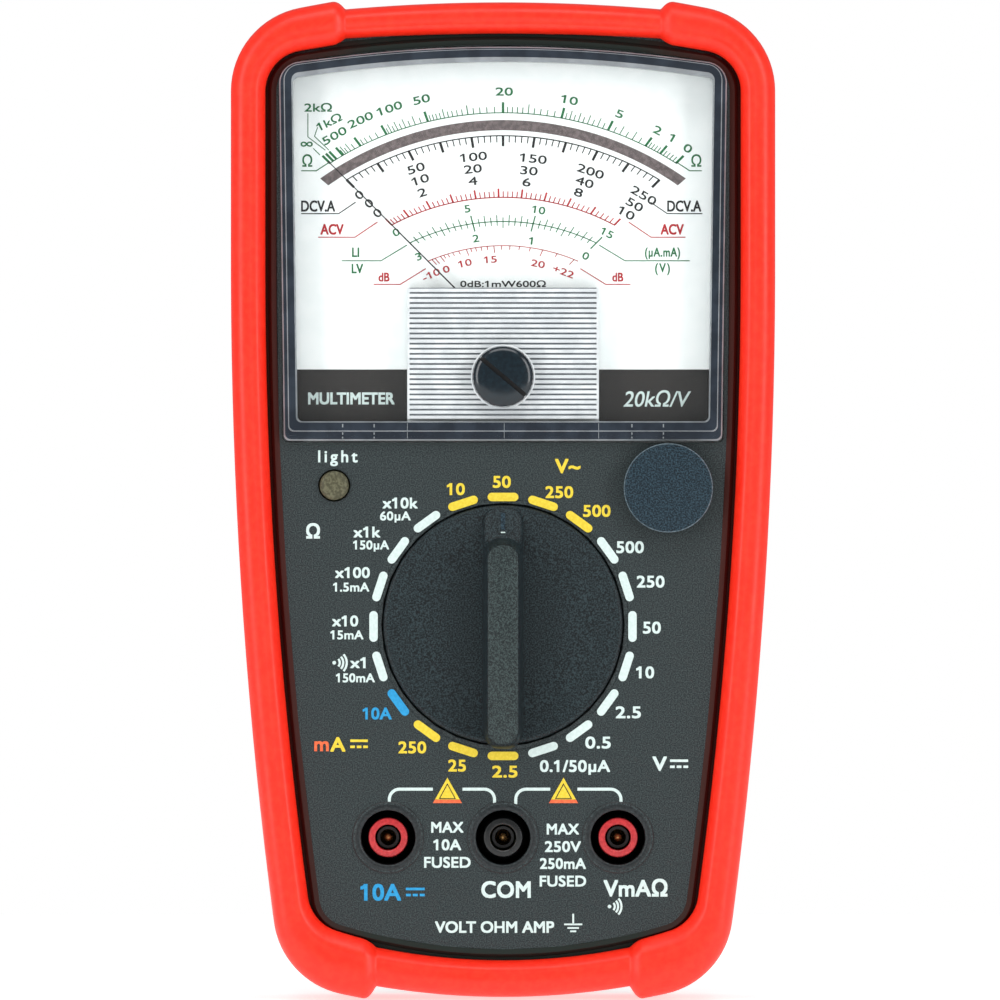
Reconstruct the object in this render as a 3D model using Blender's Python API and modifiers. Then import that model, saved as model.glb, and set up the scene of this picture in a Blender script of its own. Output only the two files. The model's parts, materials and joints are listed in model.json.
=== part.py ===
"""Analog multimeter in a rubber holster, as the separate pieces it is made of.

The meter stands upright: +X is to the right as its user sees it, its face looks towards -Y and
+Z is up. All sizes below are millimetres; MM turns them into the scene's metres.
"""

import math

import bmesh
import bpy
from mathutils import Matrix, Vector

MM = 0.001
GAP = 0.3  # clearance kept between neighbouring pieces

# outlines seen from the front: half width, top and bottom on the centre line, edge curvatures
HOLSTER = dict(half=45.0, top=164.8, bottom=0.3, r_top=295, r_bottom=123, r_side=790, corner=14.0)
OPENING = dict(half=39.3, top=159.6, bottom=6.4, r_top=210, r_bottom=90, r_side=770, corner=6.8)
TAPER_START = 121.0  # the sides are straight above this height and curve inwards below it

# depths, from the face (-Y) to the back (+Y)
HOLSTER_FRONT, HOLSTER_BACK = -19.0, 22.5
LEDGE = -14.6  # front of the case under the holster's lip
FACE = -16.0  # flat face of the case
WALL = 2.0
PARTING = 0.7
CASE_BACK = 20.2
HOLSTER_WALL = 2.3
BUMPER_TOP, BUMPER_BOTTOM = 26.6, 22.1  # half widths of the recessed stretches between bumpers
BUMPER_FOOT = 26.0  # outer end of each flat foot

# meter movement
PIVOT = 109.6
NEEDLE_REST = -45.0
NEEDLE_LENGTH = 40.0
NEEDLE_Y = -13.6
DIAL_Y = -12.0
LENS_FRONT, LENS_WALL = -17.4, 1.5
LENS = dict(half=36.2, top=157.4, bottom=92.3, r_top=214)
YOKE_RADIUS, YOKE_BORE, CORE_RADIUS = 13.0, 9.3, 6.4
YOKE_FRONT, YOKE_BACK = -9.5, 1.7
ZERO_SCREW = 102.9
ECCENTRIC = 1.2

# controls
KNOB = 61.9  # height of the range knob's axis
KNOB_RADIUS, KNOB_WELL = 19.75, 20.15
KNOB_FACE, GRIP_FACE = -16.8, -22.5
OHM_KNOB, OHM_RADIUS, OHM_NECK = (27.3, 84.5), 7.4, 5.0
LIGHT_BUTTON, BUTTON_RADIUS = (-27.9, 84.9), 2.4
JACKS, JACK_HEIGHT = (-19.0, 0.0, 19.0), 26.7
RECESS_RADIUS, JACK_BOSS = 4.6, 5.8

# inside
PCB_FRONT, PCB_BACK = -4.4, -2.8
CASE_SCREWS = [(-35.6, 77.0), (35.6, 77.0), (-26.5, 11.8), (26.5, 11.8)]
PCB_SCREWS = [(-27.5, 47.0), (27.5, 47.0)]
BAY_HALF, BAY_BOTTOM, BAY_TOP, BAY_FLOOR = 31.3, 18.2, 71.8, 0.2
COVER_HALF, COVER_BOTTOM, COVER_TOP = 31.6, 17.6, 80.0
COVER_SCREW = 76.4
FUSES = {"fuse_10a": -12.0, "fuse_250ma": 12.0}
FUSE_HEIGHT, FUSE_Y = 36.2, -8.5
HINGE_Y, HINGE_Z = 20.0, 128.0
STAND_HALF, STAND_FOOT = 20.5, 62.0

parts = bpy.data.collections.new("analog_multimeter")
cutters = bpy.data.collections.new("cutters")
materials = {}


def clear_scene():
    for item in list(bpy.data.objects):
        bpy.data.objects.remove(item, do_unlink=True)
    for collection in (parts, cutters):
        bpy.context.scene.collection.children.link(collection)


def material(name, colour, roughness=0.5, metallic=0.0, alpha=1.0):
    made = bpy.data.materials.new(name)
    made.use_nodes = True
    shader = made.node_tree.nodes["Principled BSDF"]
    shader.inputs["Base Color"].default_value = (*colour, 1.0)
    shader.inputs["Roughness"].default_value = roughness
    shader.inputs["Metallic"].default_value = metallic
    shader.inputs["Alpha"].default_value = alpha
    materials[name] = made


def make_materials():
    material("rubber_red", (0.9, 0.045, 0.02), 0.45)
    material("case_plastic", (0.035, 0.042, 0.045), 0.6)
    material("knob_plastic", (0.025, 0.034, 0.038), 0.5)
    material("blue_grey_plastic", (0.03, 0.05, 0.062), 0.6)
    material("button_plastic", (0.15, 0.13, 0.1), 0.5)
    material("clear_plastic", (0.85, 0.88, 0.9), 0.08, alpha=0.35)
    material("dial_white", (0.85, 0.87, 0.87), 0.6)
    material("silver_plastic", (0.55, 0.58, 0.59), 0.35, 0.7)
    material("black_metal", (0.02, 0.02, 0.02), 0.4, 0.5)
    material("black_plastic", (0.015, 0.015, 0.015), 0.4)
    material("red_plastic", (0.55, 0.02, 0.03), 0.4)
    material("brass", (0.75, 0.52, 0.22), 0.3, 1.0)
    material("steel", (0.55, 0.56, 0.57), 0.35, 1.0)
    material("iron", (0.25, 0.25, 0.26), 0.5, 1.0)
    material("copper_wire", (0.6, 0.25, 0.1), 0.4, 1.0)
    material("phenolic", (0.1, 0.2, 0.1), 0.6)
    material("glass", (0.85, 0.9, 0.9), 0.05, alpha=0.35)
    material("cell_jacket", (0.1, 0.12, 0.3), 0.4)


# ---- tools ----


def finish(name, mesh, finish_name, angle=30):
    mesh.shade_smooth()
    mesh.set_sharp_from_angle(angle=math.radians(angle))
    thing = bpy.data.objects.new(name, mesh)
    mesh.materials.clear()
    if finish_name:
        mesh.materials.append(materials[finish_name])
        parts.objects.link(thing)
    else:
        cutters.objects.link(thing)
        thing.hide_render = True
        thing.display_type = "WIRE"
    return thing


def outline_curve(loops, thickness):
    """A filled flat outline in the curve's own XY plane; inner loops are holes."""
    curve = bpy.data.curves.new("outline", "CURVE")
    curve.dimensions = "2D"
    curve.fill_mode = "BOTH"
    curve.extrude = thickness / 2 * MM
    for loop in loops:
        spline = curve.splines.new("POLY")
        spline.points.add(len(loop) - 1)
        for point, (u, v) in zip(spline.points, loop):
            point.co = (u * MM, v * MM, 0, 1)
        spline.use_cyclic_u = True
    return curve


def as_mesh(curve, matrix):
    """The curve as a welded mesh in world coordinates."""
    thing = bpy.data.objects.new("curve", curve)
    bpy.context.scene.collection.objects.link(thing)
    evaluated = thing.evaluated_get(bpy.context.evaluated_depsgraph_get())
    mesh = bpy.data.meshes.new_from_object(evaluated)
    bpy.data.objects.remove(thing, do_unlink=True)
    bm = bmesh.new()
    bm.from_mesh(mesh)
    bmesh.ops.remove_doubles(bm, verts=bm.verts, dist=0.005 * MM)
    bmesh.ops.dissolve_limit(bm, angle_limit=math.radians(1), verts=bm.verts, edges=bm.edges)
    bmesh.ops.recalc_face_normals(bm, faces=bm.faces)
    bm.transform(matrix)
    bm.to_mesh(mesh)
    bm.free()
    return mesh


def upright(y):
    """Stands a flat outline up: its own X and Y become X and Z, centred in depth on y."""
    return Matrix.Translation((0, y * MM, 0)) @ Matrix.Rotation(math.radians(90), 4, "X")


def plate(name, loops, y0, y1, finish_name=None):
    """An outline seen from the front, with holes, from depth y0 to y1."""
    mesh = as_mesh(outline_curve(loops, y1 - y0), upright((y0 + y1) / 2))
    return finish(name, mesh, finish_name)


def box(name, x, y, z, finish_name=None):
    bm = bmesh.new()
    bmesh.ops.create_cube(bm, size=1)
    size = Vector((x[1] - x[0], y[1] - y[0], z[1] - z[0])) * MM
    centre = Vector((x[1] + x[0], y[1] + y[0], z[1] + z[0])) * MM / 2
    bm.transform(Matrix.Translation(centre) @ Matrix.Diagonal((*size, 1)))
    mesh = bpy.data.meshes.new(name)
    bm.to_mesh(mesh)
    bm.free()
    return finish(name, mesh, finish_name)


def turned(name, profile, at, finish_name=None, axis="Y", steps=24, ring=False):
    """A turned piece. The profile is (radius, place along the axis), from front or top to back.

    With axis Y the place is a depth and at is (x, z); with axis Z it is a height and at is (x, y).
    A ring's profile goes on round its bore and closes.
    """
    mesh = bpy.data.meshes.new(name)
    sign = -1 if axis == "Y" else 1
    points = [(radius * MM, 0, sign * place * MM) for radius, place in profile]
    edges = [(i, i + 1) for i in range(len(points) - 1)]
    if ring:
        edges.append((len(points) - 1, 0))
    mesh.from_pydata(points, edges, [])
    thing = finish(name, mesh, finish_name)
    if axis == "Y":
        thing.matrix_world = Matrix.Translation((at[0] * MM, 0, at[1] * MM)) @ Matrix.Rotation(
            math.radians(90), 4, "X"
        )
    else:
        thing.location = (at[0] * MM, at[1] * MM, 0)
    screw = thing.modifiers.new("turn", "SCREW")
    screw.steps = steps
    screw.render_steps = steps
    screw.use_merge_vertices = True
    screw.merge_threshold = 0.00001
    screw.use_smooth_shade = True
    return thing


def rod(name, radius, y0, y1, at, finish_name=None, steps=24):
    return turned(name, [(0, y0), (radius, y0), (radius, y1), (0, y1)], at, finish_name, "Y", steps)


def tube(name, radius, bore, y0, y1, at, steps=12):
    profile = [(radius, y0), (radius, y1), (bore, y1), (bore, y0)]
    return turned(name, profile, at, steps=steps, ring=True)


def wire(name, points, radius, finish_name, matrix=Matrix.Identity(4)):
    curve = bpy.data.curves.new(name, "CURVE")
    curve.dimensions = "3D"
    curve.bevel_depth = radius * MM
    curve.bevel_resolution = 0
    curve.use_fill_caps = True
    spline = curve.splines.new("POLY")
    spline.points.add(len(points) - 1)
    for point, place in zip(spline.points, points):
        point.co = (*(Vector(place) * MM), 1)
    mesh = as_mesh(curve, matrix)
    return finish(name, mesh, finish_name)


def combine(target, tools, operation):
    """One Boolean of the target with every tool; the tools become wire-drawn cutters."""
    group = bpy.data.collections.new(f"{target.name}_{operation.lower()}")
    cutters.children.link(group)
    for tool in tools:
        home = tool.users_collection[0]
        home.objects.unlink(tool)
        group.objects.link(tool)
    boolean = target.modifiers.new(operation.lower(), "BOOLEAN")
    boolean.operation = operation
    boolean.solver = "EXACT"
    boolean.operand_type = "COLLECTION"
    boolean.collection = group


def cut(target, *tools):
    combine(target, tools, "DIFFERENCE")


def join(target, *tools):
    combine(target, tools, "UNION")


def round_edges(thing, width, segments=2, angle=40):
    bevel = thing.modifiers.new("edges", "BEVEL")
    bevel.width = width * MM
    bevel.segments = segments
    bevel.limit_method = "ANGLE"
    bevel.angle_limit = math.radians(angle)
    bevel.use_clamp_overlap = True


def turn_about_y(thing, degrees, height):
    """Turns a piece about the Y axis through (0, height); clockwise from the front is positive."""
    centre = Matrix.Translation((0, 0, height * MM))
    turn = centre @ Matrix.Rotation(math.radians(degrees), 4, "Y") @ centre.inverted()
    thing.matrix_world = turn @ thing.matrix_world


# ---- outlines, in millimetres as (x, z) ----


def circle(radius, at=(0, 0), count=24):
    turns = [2 * math.pi * i / count for i in range(count)]
    return [(at[0] + radius * math.cos(t), at[1] + radius * math.sin(t)) for t in turns]


def rectangle(x0, x1, z0, z1):
    return [(x0, z0), (x1, z0), (x1, z1), (x0, z1)]


def rounded(corners, steps=3):
    """Replaces each corner (x, z, radius) by an arc that is tangent to both its sides."""
    points = []
    for i, (x, z, radius) in enumerate(corners):
        here = Vector((x, z))
        if not radius:
            points.append((x, z))
            continue
        before = (Vector(corners[i - 1][:2]) - here).normalized()
        after = (Vector(corners[(i + 1) % len(corners)][:2]) - here).normalized()
        half = before.angle(after) / 2
        middle = here + (before + after).normalized() * radius / math.sin(half)
        start = here + before * radius / math.tan(half) - middle
        end = here + after * radius / math.tan(half) - middle
        sweep = start.angle_signed(end)
        for k in range(steps + 1):
            turned_start = start.copy()
            turned_start.rotate(Matrix.Rotation(-sweep * k / steps, 2))
            points.append(tuple(middle + turned_start))
    return points


def meeting(point, slope, other, other_slope):
    """Where two lines cross; slopes are dz/dx for the first and dx/dz for the second."""
    z = (point[1] + slope * (other[0] - other_slope * other[1] - point[0])) / (1 - slope * other_slope)
    return other[0] + other_slope * (z - other[1]), z


def side_x(shape, z):
    """Half width of a shape at a height."""
    return shape["half"] - max(0.0, TAPER_START - z) ** 2 / (2 * shape["r_side"])


def body_outline(shape, inset=0.0, edge_steps=2):
    """The meter's outline: gently arched ends, straight sides that taper below, round corners."""
    shape = dict(shape, half=shape["half"] - inset)
    top, bottom = shape["top"] - inset, shape["bottom"] + inset
    corner = shape["corner"] - inset
    edge = shape["half"] * 0.5
    arch = [i * edge / edge_steps for i in range(edge_steps + 1)]
    half = [(x, top - x * x / (2 * shape["r_top"]), 0) for x in arch]
    top_corner = (shape["half"], half[-1][1] - edge / shape["r_top"] * (shape["half"] - edge))
    half.append((*top_corner, corner))
    half += [(side_x(shape, z), z, 0) for z in (TAPER_START, 95, 70, 45, 26)]
    side_slope = (TAPER_START - 26) / shape["r_side"]
    low = [(x, bottom + x * x / (2 * shape["r_bottom"]), 0) for x in reversed(arch)]
    bottom_corner = meeting(low[0], edge / shape["r_bottom"], half[-1], side_slope)
    half.append((*bottom_corner, corner))
    half += low
    left = [(-x, z, radius) for x, z, radius in reversed(half) if x > 0.001]
    return rounded(half + left)


def holster_outline():
    """The holster's outside: its long sides and corners stand proud of the ends between them."""
    top, bottom = HOLSTER["top"], HOLSTER["bottom"]
    steps = (0, 13, BUMPER_TOP)
    half = [(x, top - x * x / (2 * HOLSTER["r_top"]), 0) for x in steps]
    half += [(BUMPER_TOP + 0.9, 165.0, 0.5), (HOLSTER["half"], 162.5, HOLSTER["corner"])]
    half += [(side_x(HOLSTER, z), z, 0) for z in (TAPER_START, 95, 70, 45, 26)]
    half += [(36.9, 1.5, 13.0), (BUMPER_FOOT, 0, 0), (BUMPER_BOTTOM + 0.6, 0, 0.4)]
    steps = (BUMPER_BOTTOM - 0.5, 11, 0)
    half += [(x, bottom + x * x / (2 * HOLSTER["r_bottom"]), 0) for x in steps]
    left = [(-x, z, radius) for x, z, radius in reversed(half) if x > 0.001]
    return rounded(half + left)


def lens_outline(inset=0.0, bottom=LENS["bottom"]):
    half, top = LENS["half"] - inset, LENS["top"] - inset
    steps = [half * 0.8 * i / 3 for i in range(4)]
    points = [(x, top - x * x / (2 * LENS["r_top"]), 0) for x in steps]
    points += [(half, top - half * half / (2 * LENS["r_top"]) + 0.4, 4.0 - inset * 0.5)]
    points += [(half, bottom + inset, 0.9), (-half, bottom + inset, 0.9)]
    left = [(-x, z, radius) for x, z, radius in reversed(points[:-2]) if x > 0.001]
    return rounded(points + left, 3)


# ---- covers ----


def holster():
    body = plate("holster", [holster_outline()], HOLSTER_FRONT, HOLSTER_BACK, "rubber_red")
    round_edges(body, 2.4, 2, 60)
    cavity = body_outline(HOLSTER, HOLSTER_WALL)
    cut(
        body,
        plate("holster_cavity", [cavity], LEDGE - GAP, CASE_BACK + GAP),
        plate("holster_front_opening", [body_outline(OPENING)], HOLSTER_FRONT - 5, LEDGE + 1),
        plate("holster_back_opening", [body_outline(HOLSTER, 9.0)], CASE_BACK - 1, HOLSTER_BACK + 5),
        box("top_recess", (-BUMPER_TOP, BUMPER_TOP), (-30, HOLSTER_FRONT + 1), (150, 170)),
        box("bottom_recess", (-BUMPER_BOTTOM, BUMPER_BOTTOM), (-30, HOLSTER_FRONT + 1), (-5, 15)),
    )


def face_holes(clearance):
    """Outlines of the openings through the case's front wall, widened by a clearance."""
    holes = [lens_outline(-GAP - clearance), circle(KNOB_WELL + 0.8 + clearance, (0, KNOB), 32)]
    holes.append(circle(OHM_NECK + 0.35 + clearance, OHM_KNOB, 20))
    holes.append(circle(BUTTON_RADIUS + GAP + clearance, LIGHT_BUTTON, 16))
    holes += [circle(JACK_BOSS - 0.6 + clearance, (x, JACK_HEIGHT)) for x in JACKS]
    return holes


def front_case():
    outer, inner = body_outline(HOLSTER, 2.6), body_outline(HOLSTER, 4.6)
    case = plate("front_case", [outer, inner], LEDGE, PARTING, "case_plastic")
    raised = plate("raised_face", [body_outline(OPENING, 0.5)], FACE, LEDGE + 1.2)
    round_edges(raised, 1.3, 1, 60)
    cut(raised, *[plate("face_hole", [hole], FACE - 3, -10) for hole in face_holes(0)])
    wall = plate("front_wall", [body_outline(HOLSTER, 3.4)] + face_holes(0.15), LEDGE + 0.1, LEDGE + 2.2)
    posts = [tube("case_post", 3.2, 1.6, LEDGE + 1, PARTING - 1, at) for at in CASE_SCREWS]
    posts += [tube("pcb_post", 2.8, 1.3, LEDGE + 1, PCB_FRONT - GAP, at) for at in PCB_SCREWS]
    well, deep = KNOB_WELL, KNOB_WELL + 1.85
    floor, under = -12.9, -11.3
    cup = [(well, FACE + 0.05), (deep, FACE + 0.3), (deep, under), (3.4, under), (3.4, floor), (well, floor)]
    cup = turned("knob_well_wall", cup, (0, KNOB), steps=32, ring=True)
    rim, seat = FACE - 0.3, -7.8
    socket = [(RECESS_RADIUS, rim), (JACK_BOSS, rim), (JACK_BOSS, -6.2), (3.55, -6.2)]
    socket += [(3.55, seat), (RECESS_RADIUS, seat)]
    sockets = [turned("jack_tube", socket, (x, JACK_HEIGHT), ring=True) for x in JACKS]
    join(case, raised, wall, cup, *posts, *sockets)


def rear_case():
    case = plate("rear_case", [body_outline(HOLSTER, 2.6)], PARTING - 9, CASE_BACK, "case_plastic")
    round_edges(case, 2.5, 1, 60)
    cut(case, box("parting_cut", (-60, 60), (-30, PARTING + GAP), (-10, 180)))
    cut(case, plate("rear_cavity", [body_outline(HOLSTER, 4.6)], -5, CASE_BACK - WALL))
    outer = BAY_HALF + 1.2
    bay = box("battery_bay", (-outer, outer), (-1.0, 19), (BAY_BOTTOM - 1.2, BAY_TOP + 1.2))
    shelf = box("cover_shelf", (-33.2, 33.2), (16.4, 18.6), (BAY_TOP, 82))
    boss = rod("cover_screw_boss", 3.0, 6, 17, (0, COVER_SCREW), steps=12)
    trough = box("hinge_trough", (-29, 29), (15.8, 18.6), (HINGE_Z - 5, HINGE_Z + 5))
    join(case, bay, shelf, boss, trough)
    posts = [rod("rear_post", 3.2, PARTING + GAP, 19, at, steps=12) for at in CASE_SCREWS]
    pillars = [(x, z) for x in (-34.0, 34.0) for z in (98.0, 150.0)]
    posts += [rod("carrier_pillar", 2.5, -9.4, 19, at, steps=12) for at in pillars]
    join(case, *posts)
    cut(
        case,
        box("bay_space", (-BAY_HALF, BAY_HALF), (BAY_FLOOR, 30), (BAY_BOTTOM, BAY_TOP)),
        box("cover_seat", (-COVER_HALF - GAP, COVER_HALF + GAP), (CASE_BACK - WALL, 30),
            (COVER_BOTTOM - GAP, COVER_TOP + GAP)),
        rod("cover_pilot", 1.6, 8, 30, (0, COVER_SCREW), steps=10),
        box("trough_space", (-27, 27), (17.3, 30), (HINGE_Z - 3.1, HINGE_Z + 3.1)),
    )
    cut(case, *[rod("screw_way", 1.8, -5, 30, at, steps=10) for at in CASE_SCREWS])
    cut(case, *[rod("screw_head_seat", 3.0, 14.5, 30, at, steps=12) for at in CASE_SCREWS])
    for side in (-1, 1):
        inner, outer = sorted((side * 21.3, side * 24.3))
        lug = box("hinge_lug", (inner, outer), (17.0, 21.8), (HINGE_Z - 2.4, HINGE_Z + 2.4))
        join(case, lug)
    cut(case, hinge_rod("pin_hole", 1.3, 60, None))


def hinge_rod(name, radius, length, finish_name):
    """A rod along X on the tilt stand's hinge axis."""
    half = length / 2
    profile = [(0, half), (radius, half), (radius, -half), (0, -half)]
    thing = turned(name, profile, (0, 0), finish_name, "Z", 16)
    place = Matrix.Translation((0, HINGE_Y * MM, HINGE_Z * MM))
    thing.matrix_world = place @ Matrix.Rotation(math.radians(90), 4, "Y")
    return thing


def battery_cover():
    y0 = CASE_BACK - WALL + 0.2
    hole = circle(1.9, (0, COVER_SCREW), 12)
    outline = rectangle(-COVER_HALF, COVER_HALF, COVER_BOTTOM, COVER_TOP)
    cover = plate("battery_cover", [outline, hole], y0, CASE_BACK, "case_plastic")
    ribs = [box("grip_rib", (-8, 8), (19.0, CASE_BACK + 0.3), (z, z + 0.9)) for z in (22, 24, 26, 28)]
    join(cover, *ribs)


def tilt_stand():
    inner, outer = CASE_BACK + GAP, HOLSTER_BACK - 0.2
    outline = rounded([
        (STAND_HALF, HINGE_Z, 0), (STAND_HALF, STAND_FOOT, 6),
        (-STAND_HALF, STAND_FOOT, 6), (-STAND_HALF, HINGE_Z, 0),
    ])
    opening = rounded([(12, 112, 4), (12, 70, 4), (-12, 70, 4), (-12, 112, 4)])
    stand = plate("tilt_stand", [outline, opening], inner, outer, "case_plastic")
    join(stand, hinge_rod("stand_barrel", 2.2, 2 * STAND_HALF, None))
    cut(stand, hinge_rod("stand_bore", 1.3, 80, None))


def screw(name, at, head_y, tip_y, radius=1.3, head=2.5, head_height=1.5):
    """A pan-head screw driven from the back, with a slot across its head."""
    profile = [(0, tip_y), (radius * 0.6, tip_y), (radius, tip_y + 1.0), (radius, head_y)]
    profile += [(head, head_y), (head, head_y + head_height * 0.6), (head * 0.8, head_y + head_height)]
    profile.append((0, head_y + head_height))
    made = turned(name, profile, at, "steel", steps=12)
    deep = (head_y + head_height - 0.6, head_y + head_height + 1)
    cut(made, box("screw_slot", (at[0] - 9, at[0] + 9), deep, (at[1] - 0.3, at[1] + 0.3)))


# ---- movement ----


def lens():
    cover = plate("meter_lens", [lens_outline()], LENS_FRONT, DIAL_Y - GAP, "clear_plastic")
    room = lens_outline(1.4, bottom=95.6 - 1.4)
    cut(cover, plate("lens_room", [room], LENS_FRONT + LENS_WALL, 0))
    cut(cover, rod("zero_screw_hole", 2.9, -30, 0, (0, ZERO_SCREW)))


def dial_and_carrier():
    corners = rounded([(37.5, 157.6, 5), (37.5, 91.5, 1), (-37.5, 91.5, 1), (-37.5, 157.6, 5)], 3)
    opening = rectangle(-13.6, 13.6, 97.0, 114.5)
    plate("dial_plate", [corners, opening], DIAL_Y, DIAL_Y + 0.8, "dial_white")
    bore = circle(YOKE_RADIUS + GAP, (0, PIVOT), 32)
    carrier = plate("movement_carrier", [corners, bore], DIAL_Y + 1.1, DIAL_Y + 2.3, "black_plastic")
    collar = circle(YOKE_RADIUS + 2, (0, PIVOT), 32)
    join(carrier, plate("carrier_collar", [collar, bore], DIAL_Y + 2, YOKE_BACK - 1))


def movement_cover():
    cover = box("movement_cover", (-15.8, 15.8), (-15.6, DIAL_Y - GAP), (95.9, 117.6), "silver_plastic")
    cut(cover, box("cover_room", (-15.0, 15.0), (-15.0, 0), (96.7, 130)))
    cut(cover, rod("cover_screw_hole", 2.9, -30, 0, (0, ZERO_SCREW)))


def magnet_system():
    yoke = [circle(YOKE_RADIUS, (0, PIVOT), 32), circle(YOKE_BORE, (0, PIVOT), 32)]
    plate("yoke_ring", yoke, YOKE_FRONT, YOKE_BACK, "iron")
    rod("core_magnet", CORE_RADIUS, YOKE_FRONT, YOKE_BACK, (0, PIVOT), "iron")
    bridge("front_bridge", -14.7, YOKE_FRONT - GAP, True)
    bridge("rear_bridge", YOKE_BACK + GAP, 5.4, False)


def bridge(name, y0, y1, open_back):
    """A U-shaped bridge over the movement; its crossbar carries the jewel for one pivot."""
    made = box(name, (-12.1, 12.1), (y0, y1), (PIVOT - 1.5, PIVOT + 1.5), "brass")
    room = (y0 + 0.6, y1 + 1) if open_back else (y0 - 1, y1 - 0.8)
    cut(made, box("bridge_room", (-10.4, 10.4), room, (PIVOT - 5, PIVOT + 5)))


def moving_coil():
    """The coil with its pivot staffs, lying square to the needle."""
    loops = [rectangle(-8.6, 8.6, -10.9, 3.1), rectangle(-7.0, 7.0, -10.0, 2.2)]
    place = Matrix.Translation((0, 0, PIVOT * MM))
    coil = finish("moving_coil", as_mesh(outline_curve(loops, 2.4), place), "copper_wire")
    join(coil, rod("front_staff", 0.6, -13.85, -10.4, (0, PIVOT), steps=12))
    join(coil, rod("rear_staff", 0.6, 2.6, 4.35, (0, PIVOT), steps=12))
    turn_about_y(coil, NEEDLE_REST, PIVOT)


def hairspring(name, y):
    turns, count = 3, 14
    points = []
    for i in range(turns * count + 1):
        turn = 2 * math.pi * i / count
        radius = 1.6 + 2.6 * i / (turns * count)
        points.append((radius * math.cos(turn), 0, radius * math.sin(turn)))
    wire(name, points, 0.12, "brass", Matrix.Translation((0, y * MM, PIVOT * MM)))


def needle():
    """A long tapering pointer with a hub round the staff and a short balancing tail."""
    hub, arm, tip, tail = 2.0, 0.25, 0.12, 0.6
    arm_turn, tail_turn = math.asin(arm / hub), math.asin(tail / hub)
    count = 7
    sweep = math.pi - arm_turn - tail_turn
    right = [(arm_turn + sweep * i / count) for i in range(count + 1)]
    half = [(tip, NEEDLE_LENGTH)]
    half += [(hub * math.sin(t), hub * math.cos(t)) for t in right]
    half.append((tail, -4.2))
    outline = half + [(-u, v) for u, v in reversed(half)]
    hole = circle(0.9, count=12)
    mesh = as_mesh(outline_curve([outline, hole], 0.3), upright(NEEDLE_Y + 0.15))
    pointer = finish("needle", mesh, "black_metal")
    pointer.location.z = PIVOT * MM
    bpy.context.view_layer.update()
    turn_about_y(pointer, NEEDLE_REST, PIVOT)


def zero_adjuster():
    """The screw's eccentric pin swings the forked lever that the front hairspring hangs on."""
    profile = [(0, -18.7), (2.6, -18.5), (4.4, -18.1), (4.95, -17.75), (2.6, -17.7)]
    profile += [(2.6, -15.0), (0, -15.0)]
    adjuster = turned("zero_screw", profile, (0, ZERO_SCREW), "black_plastic")
    slot = box("driver_slot", (-9, 9), (-30, -18.1), (-0.45, 0.45))
    slot.location.z = ZERO_SCREW * MM
    slot.rotation_euler.y = math.radians(40)
    cut(adjuster, slot)
    join(adjuster, rod("eccentric_pin", 0.5, -15.4, -12.4, (0, ZERO_SCREW - ECCENTRIC), steps=12))
    hub = [circle(2.6, (0, PIVOT), 20), circle(0.9, (0, PIVOT), 12)]
    lever = plate("zero_lever", hub, -13.0, -12.6, "brass")
    arm = [rectangle(-1.9, 1.9, 99.4, PIVOT - 1.6), rectangle(-0.8, 0.8, 100.5, 103.4)]
    join(lever, plate("lever_arm", arm, -13.0, -12.6))


# ---- range switch ----


def range_knob():
    face, back = KNOB_FACE, -14.0
    profile = [(0, face + 0.5), (15, face + 0.5), (19.2, face), (KNOB_RADIUS, face + 0.5)]
    profile += [(KNOB_RADIUS, back), (0, back)]
    knob = turned("range_knob", profile, (0, KNOB), "knob_plastic", steps=32)
    side = [(42.1, -15.0), (42.1, -21.7), (42.9, GRIP_FACE), (74.6, GRIP_FACE), (75.1, -21.9)]
    side += [(76.0, -18.6), (81.0, -17.4), (81.0, -15.0)]
    standing = Matrix(((0, 0, 1, 0), (0, 1, 0, 0), (1, 0, 0, 0), (0, 0, 0, 1)))
    join(knob, finish("grip", as_mesh(outline_curve([side], 5.6), standing), None))
    join(knob, rod("knob_shaft", 3.0, -14.5, -8.9, (0, KNOB)))


def switch_parts():
    rod("switch_rotor", 15.5, -8.6, -6.9, (0, KNOB), "black_plastic", 32)
    arm = [(3, -1.2), (14, -1.2), (14, 1.2), (3, 1.2)]
    wiper = plate("wiper_contact", [[(u, KNOB + v) for u, v in arm]], -6.6, -6.1, "copper_wire")
    reach, band = (-6.3, PCB_FRONT - GAP), (KNOB - 1, KNOB + 1)
    join(wiper, *[box("wiper_foot", (u, u + 1.4), reach, band) for u in (4, 8, 12)])
    notches = []
    for i in range(20):
        for offset, radius in ((-0.30, 16.6), (0.0, 17.6), (0.30, 16.6)):
            turn = 2 * math.pi * (i + offset) / 20
            notches.append((radius * math.sin(turn), KNOB + radius * math.cos(turn)))
    plate("detent_ring", [circle(21.5, (0, KNOB), 40), notches], -11.0, -8.9, "black_plastic")
    steps = [math.radians(-100 + 200 * i / 12) for i in range(13)]
    leaf = [(13.6 * math.sin(t), KNOB + 13.6 * math.cos(t)) for t in steps]
    leaf += [(12.9 * math.sin(t), KNOB + 12.9 * math.cos(t)) for t in reversed(steps)]
    spring = plate("detent_spring", [leaf], -10.4, -9.2, "steel")
    nose = [(-1.2, KNOB + 13.2), (0, KNOB + 16.2), (1.2, KNOB + 13.2)]
    join(spring, plate("detent_nose", [nose], -10.4, -9.2))


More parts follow.
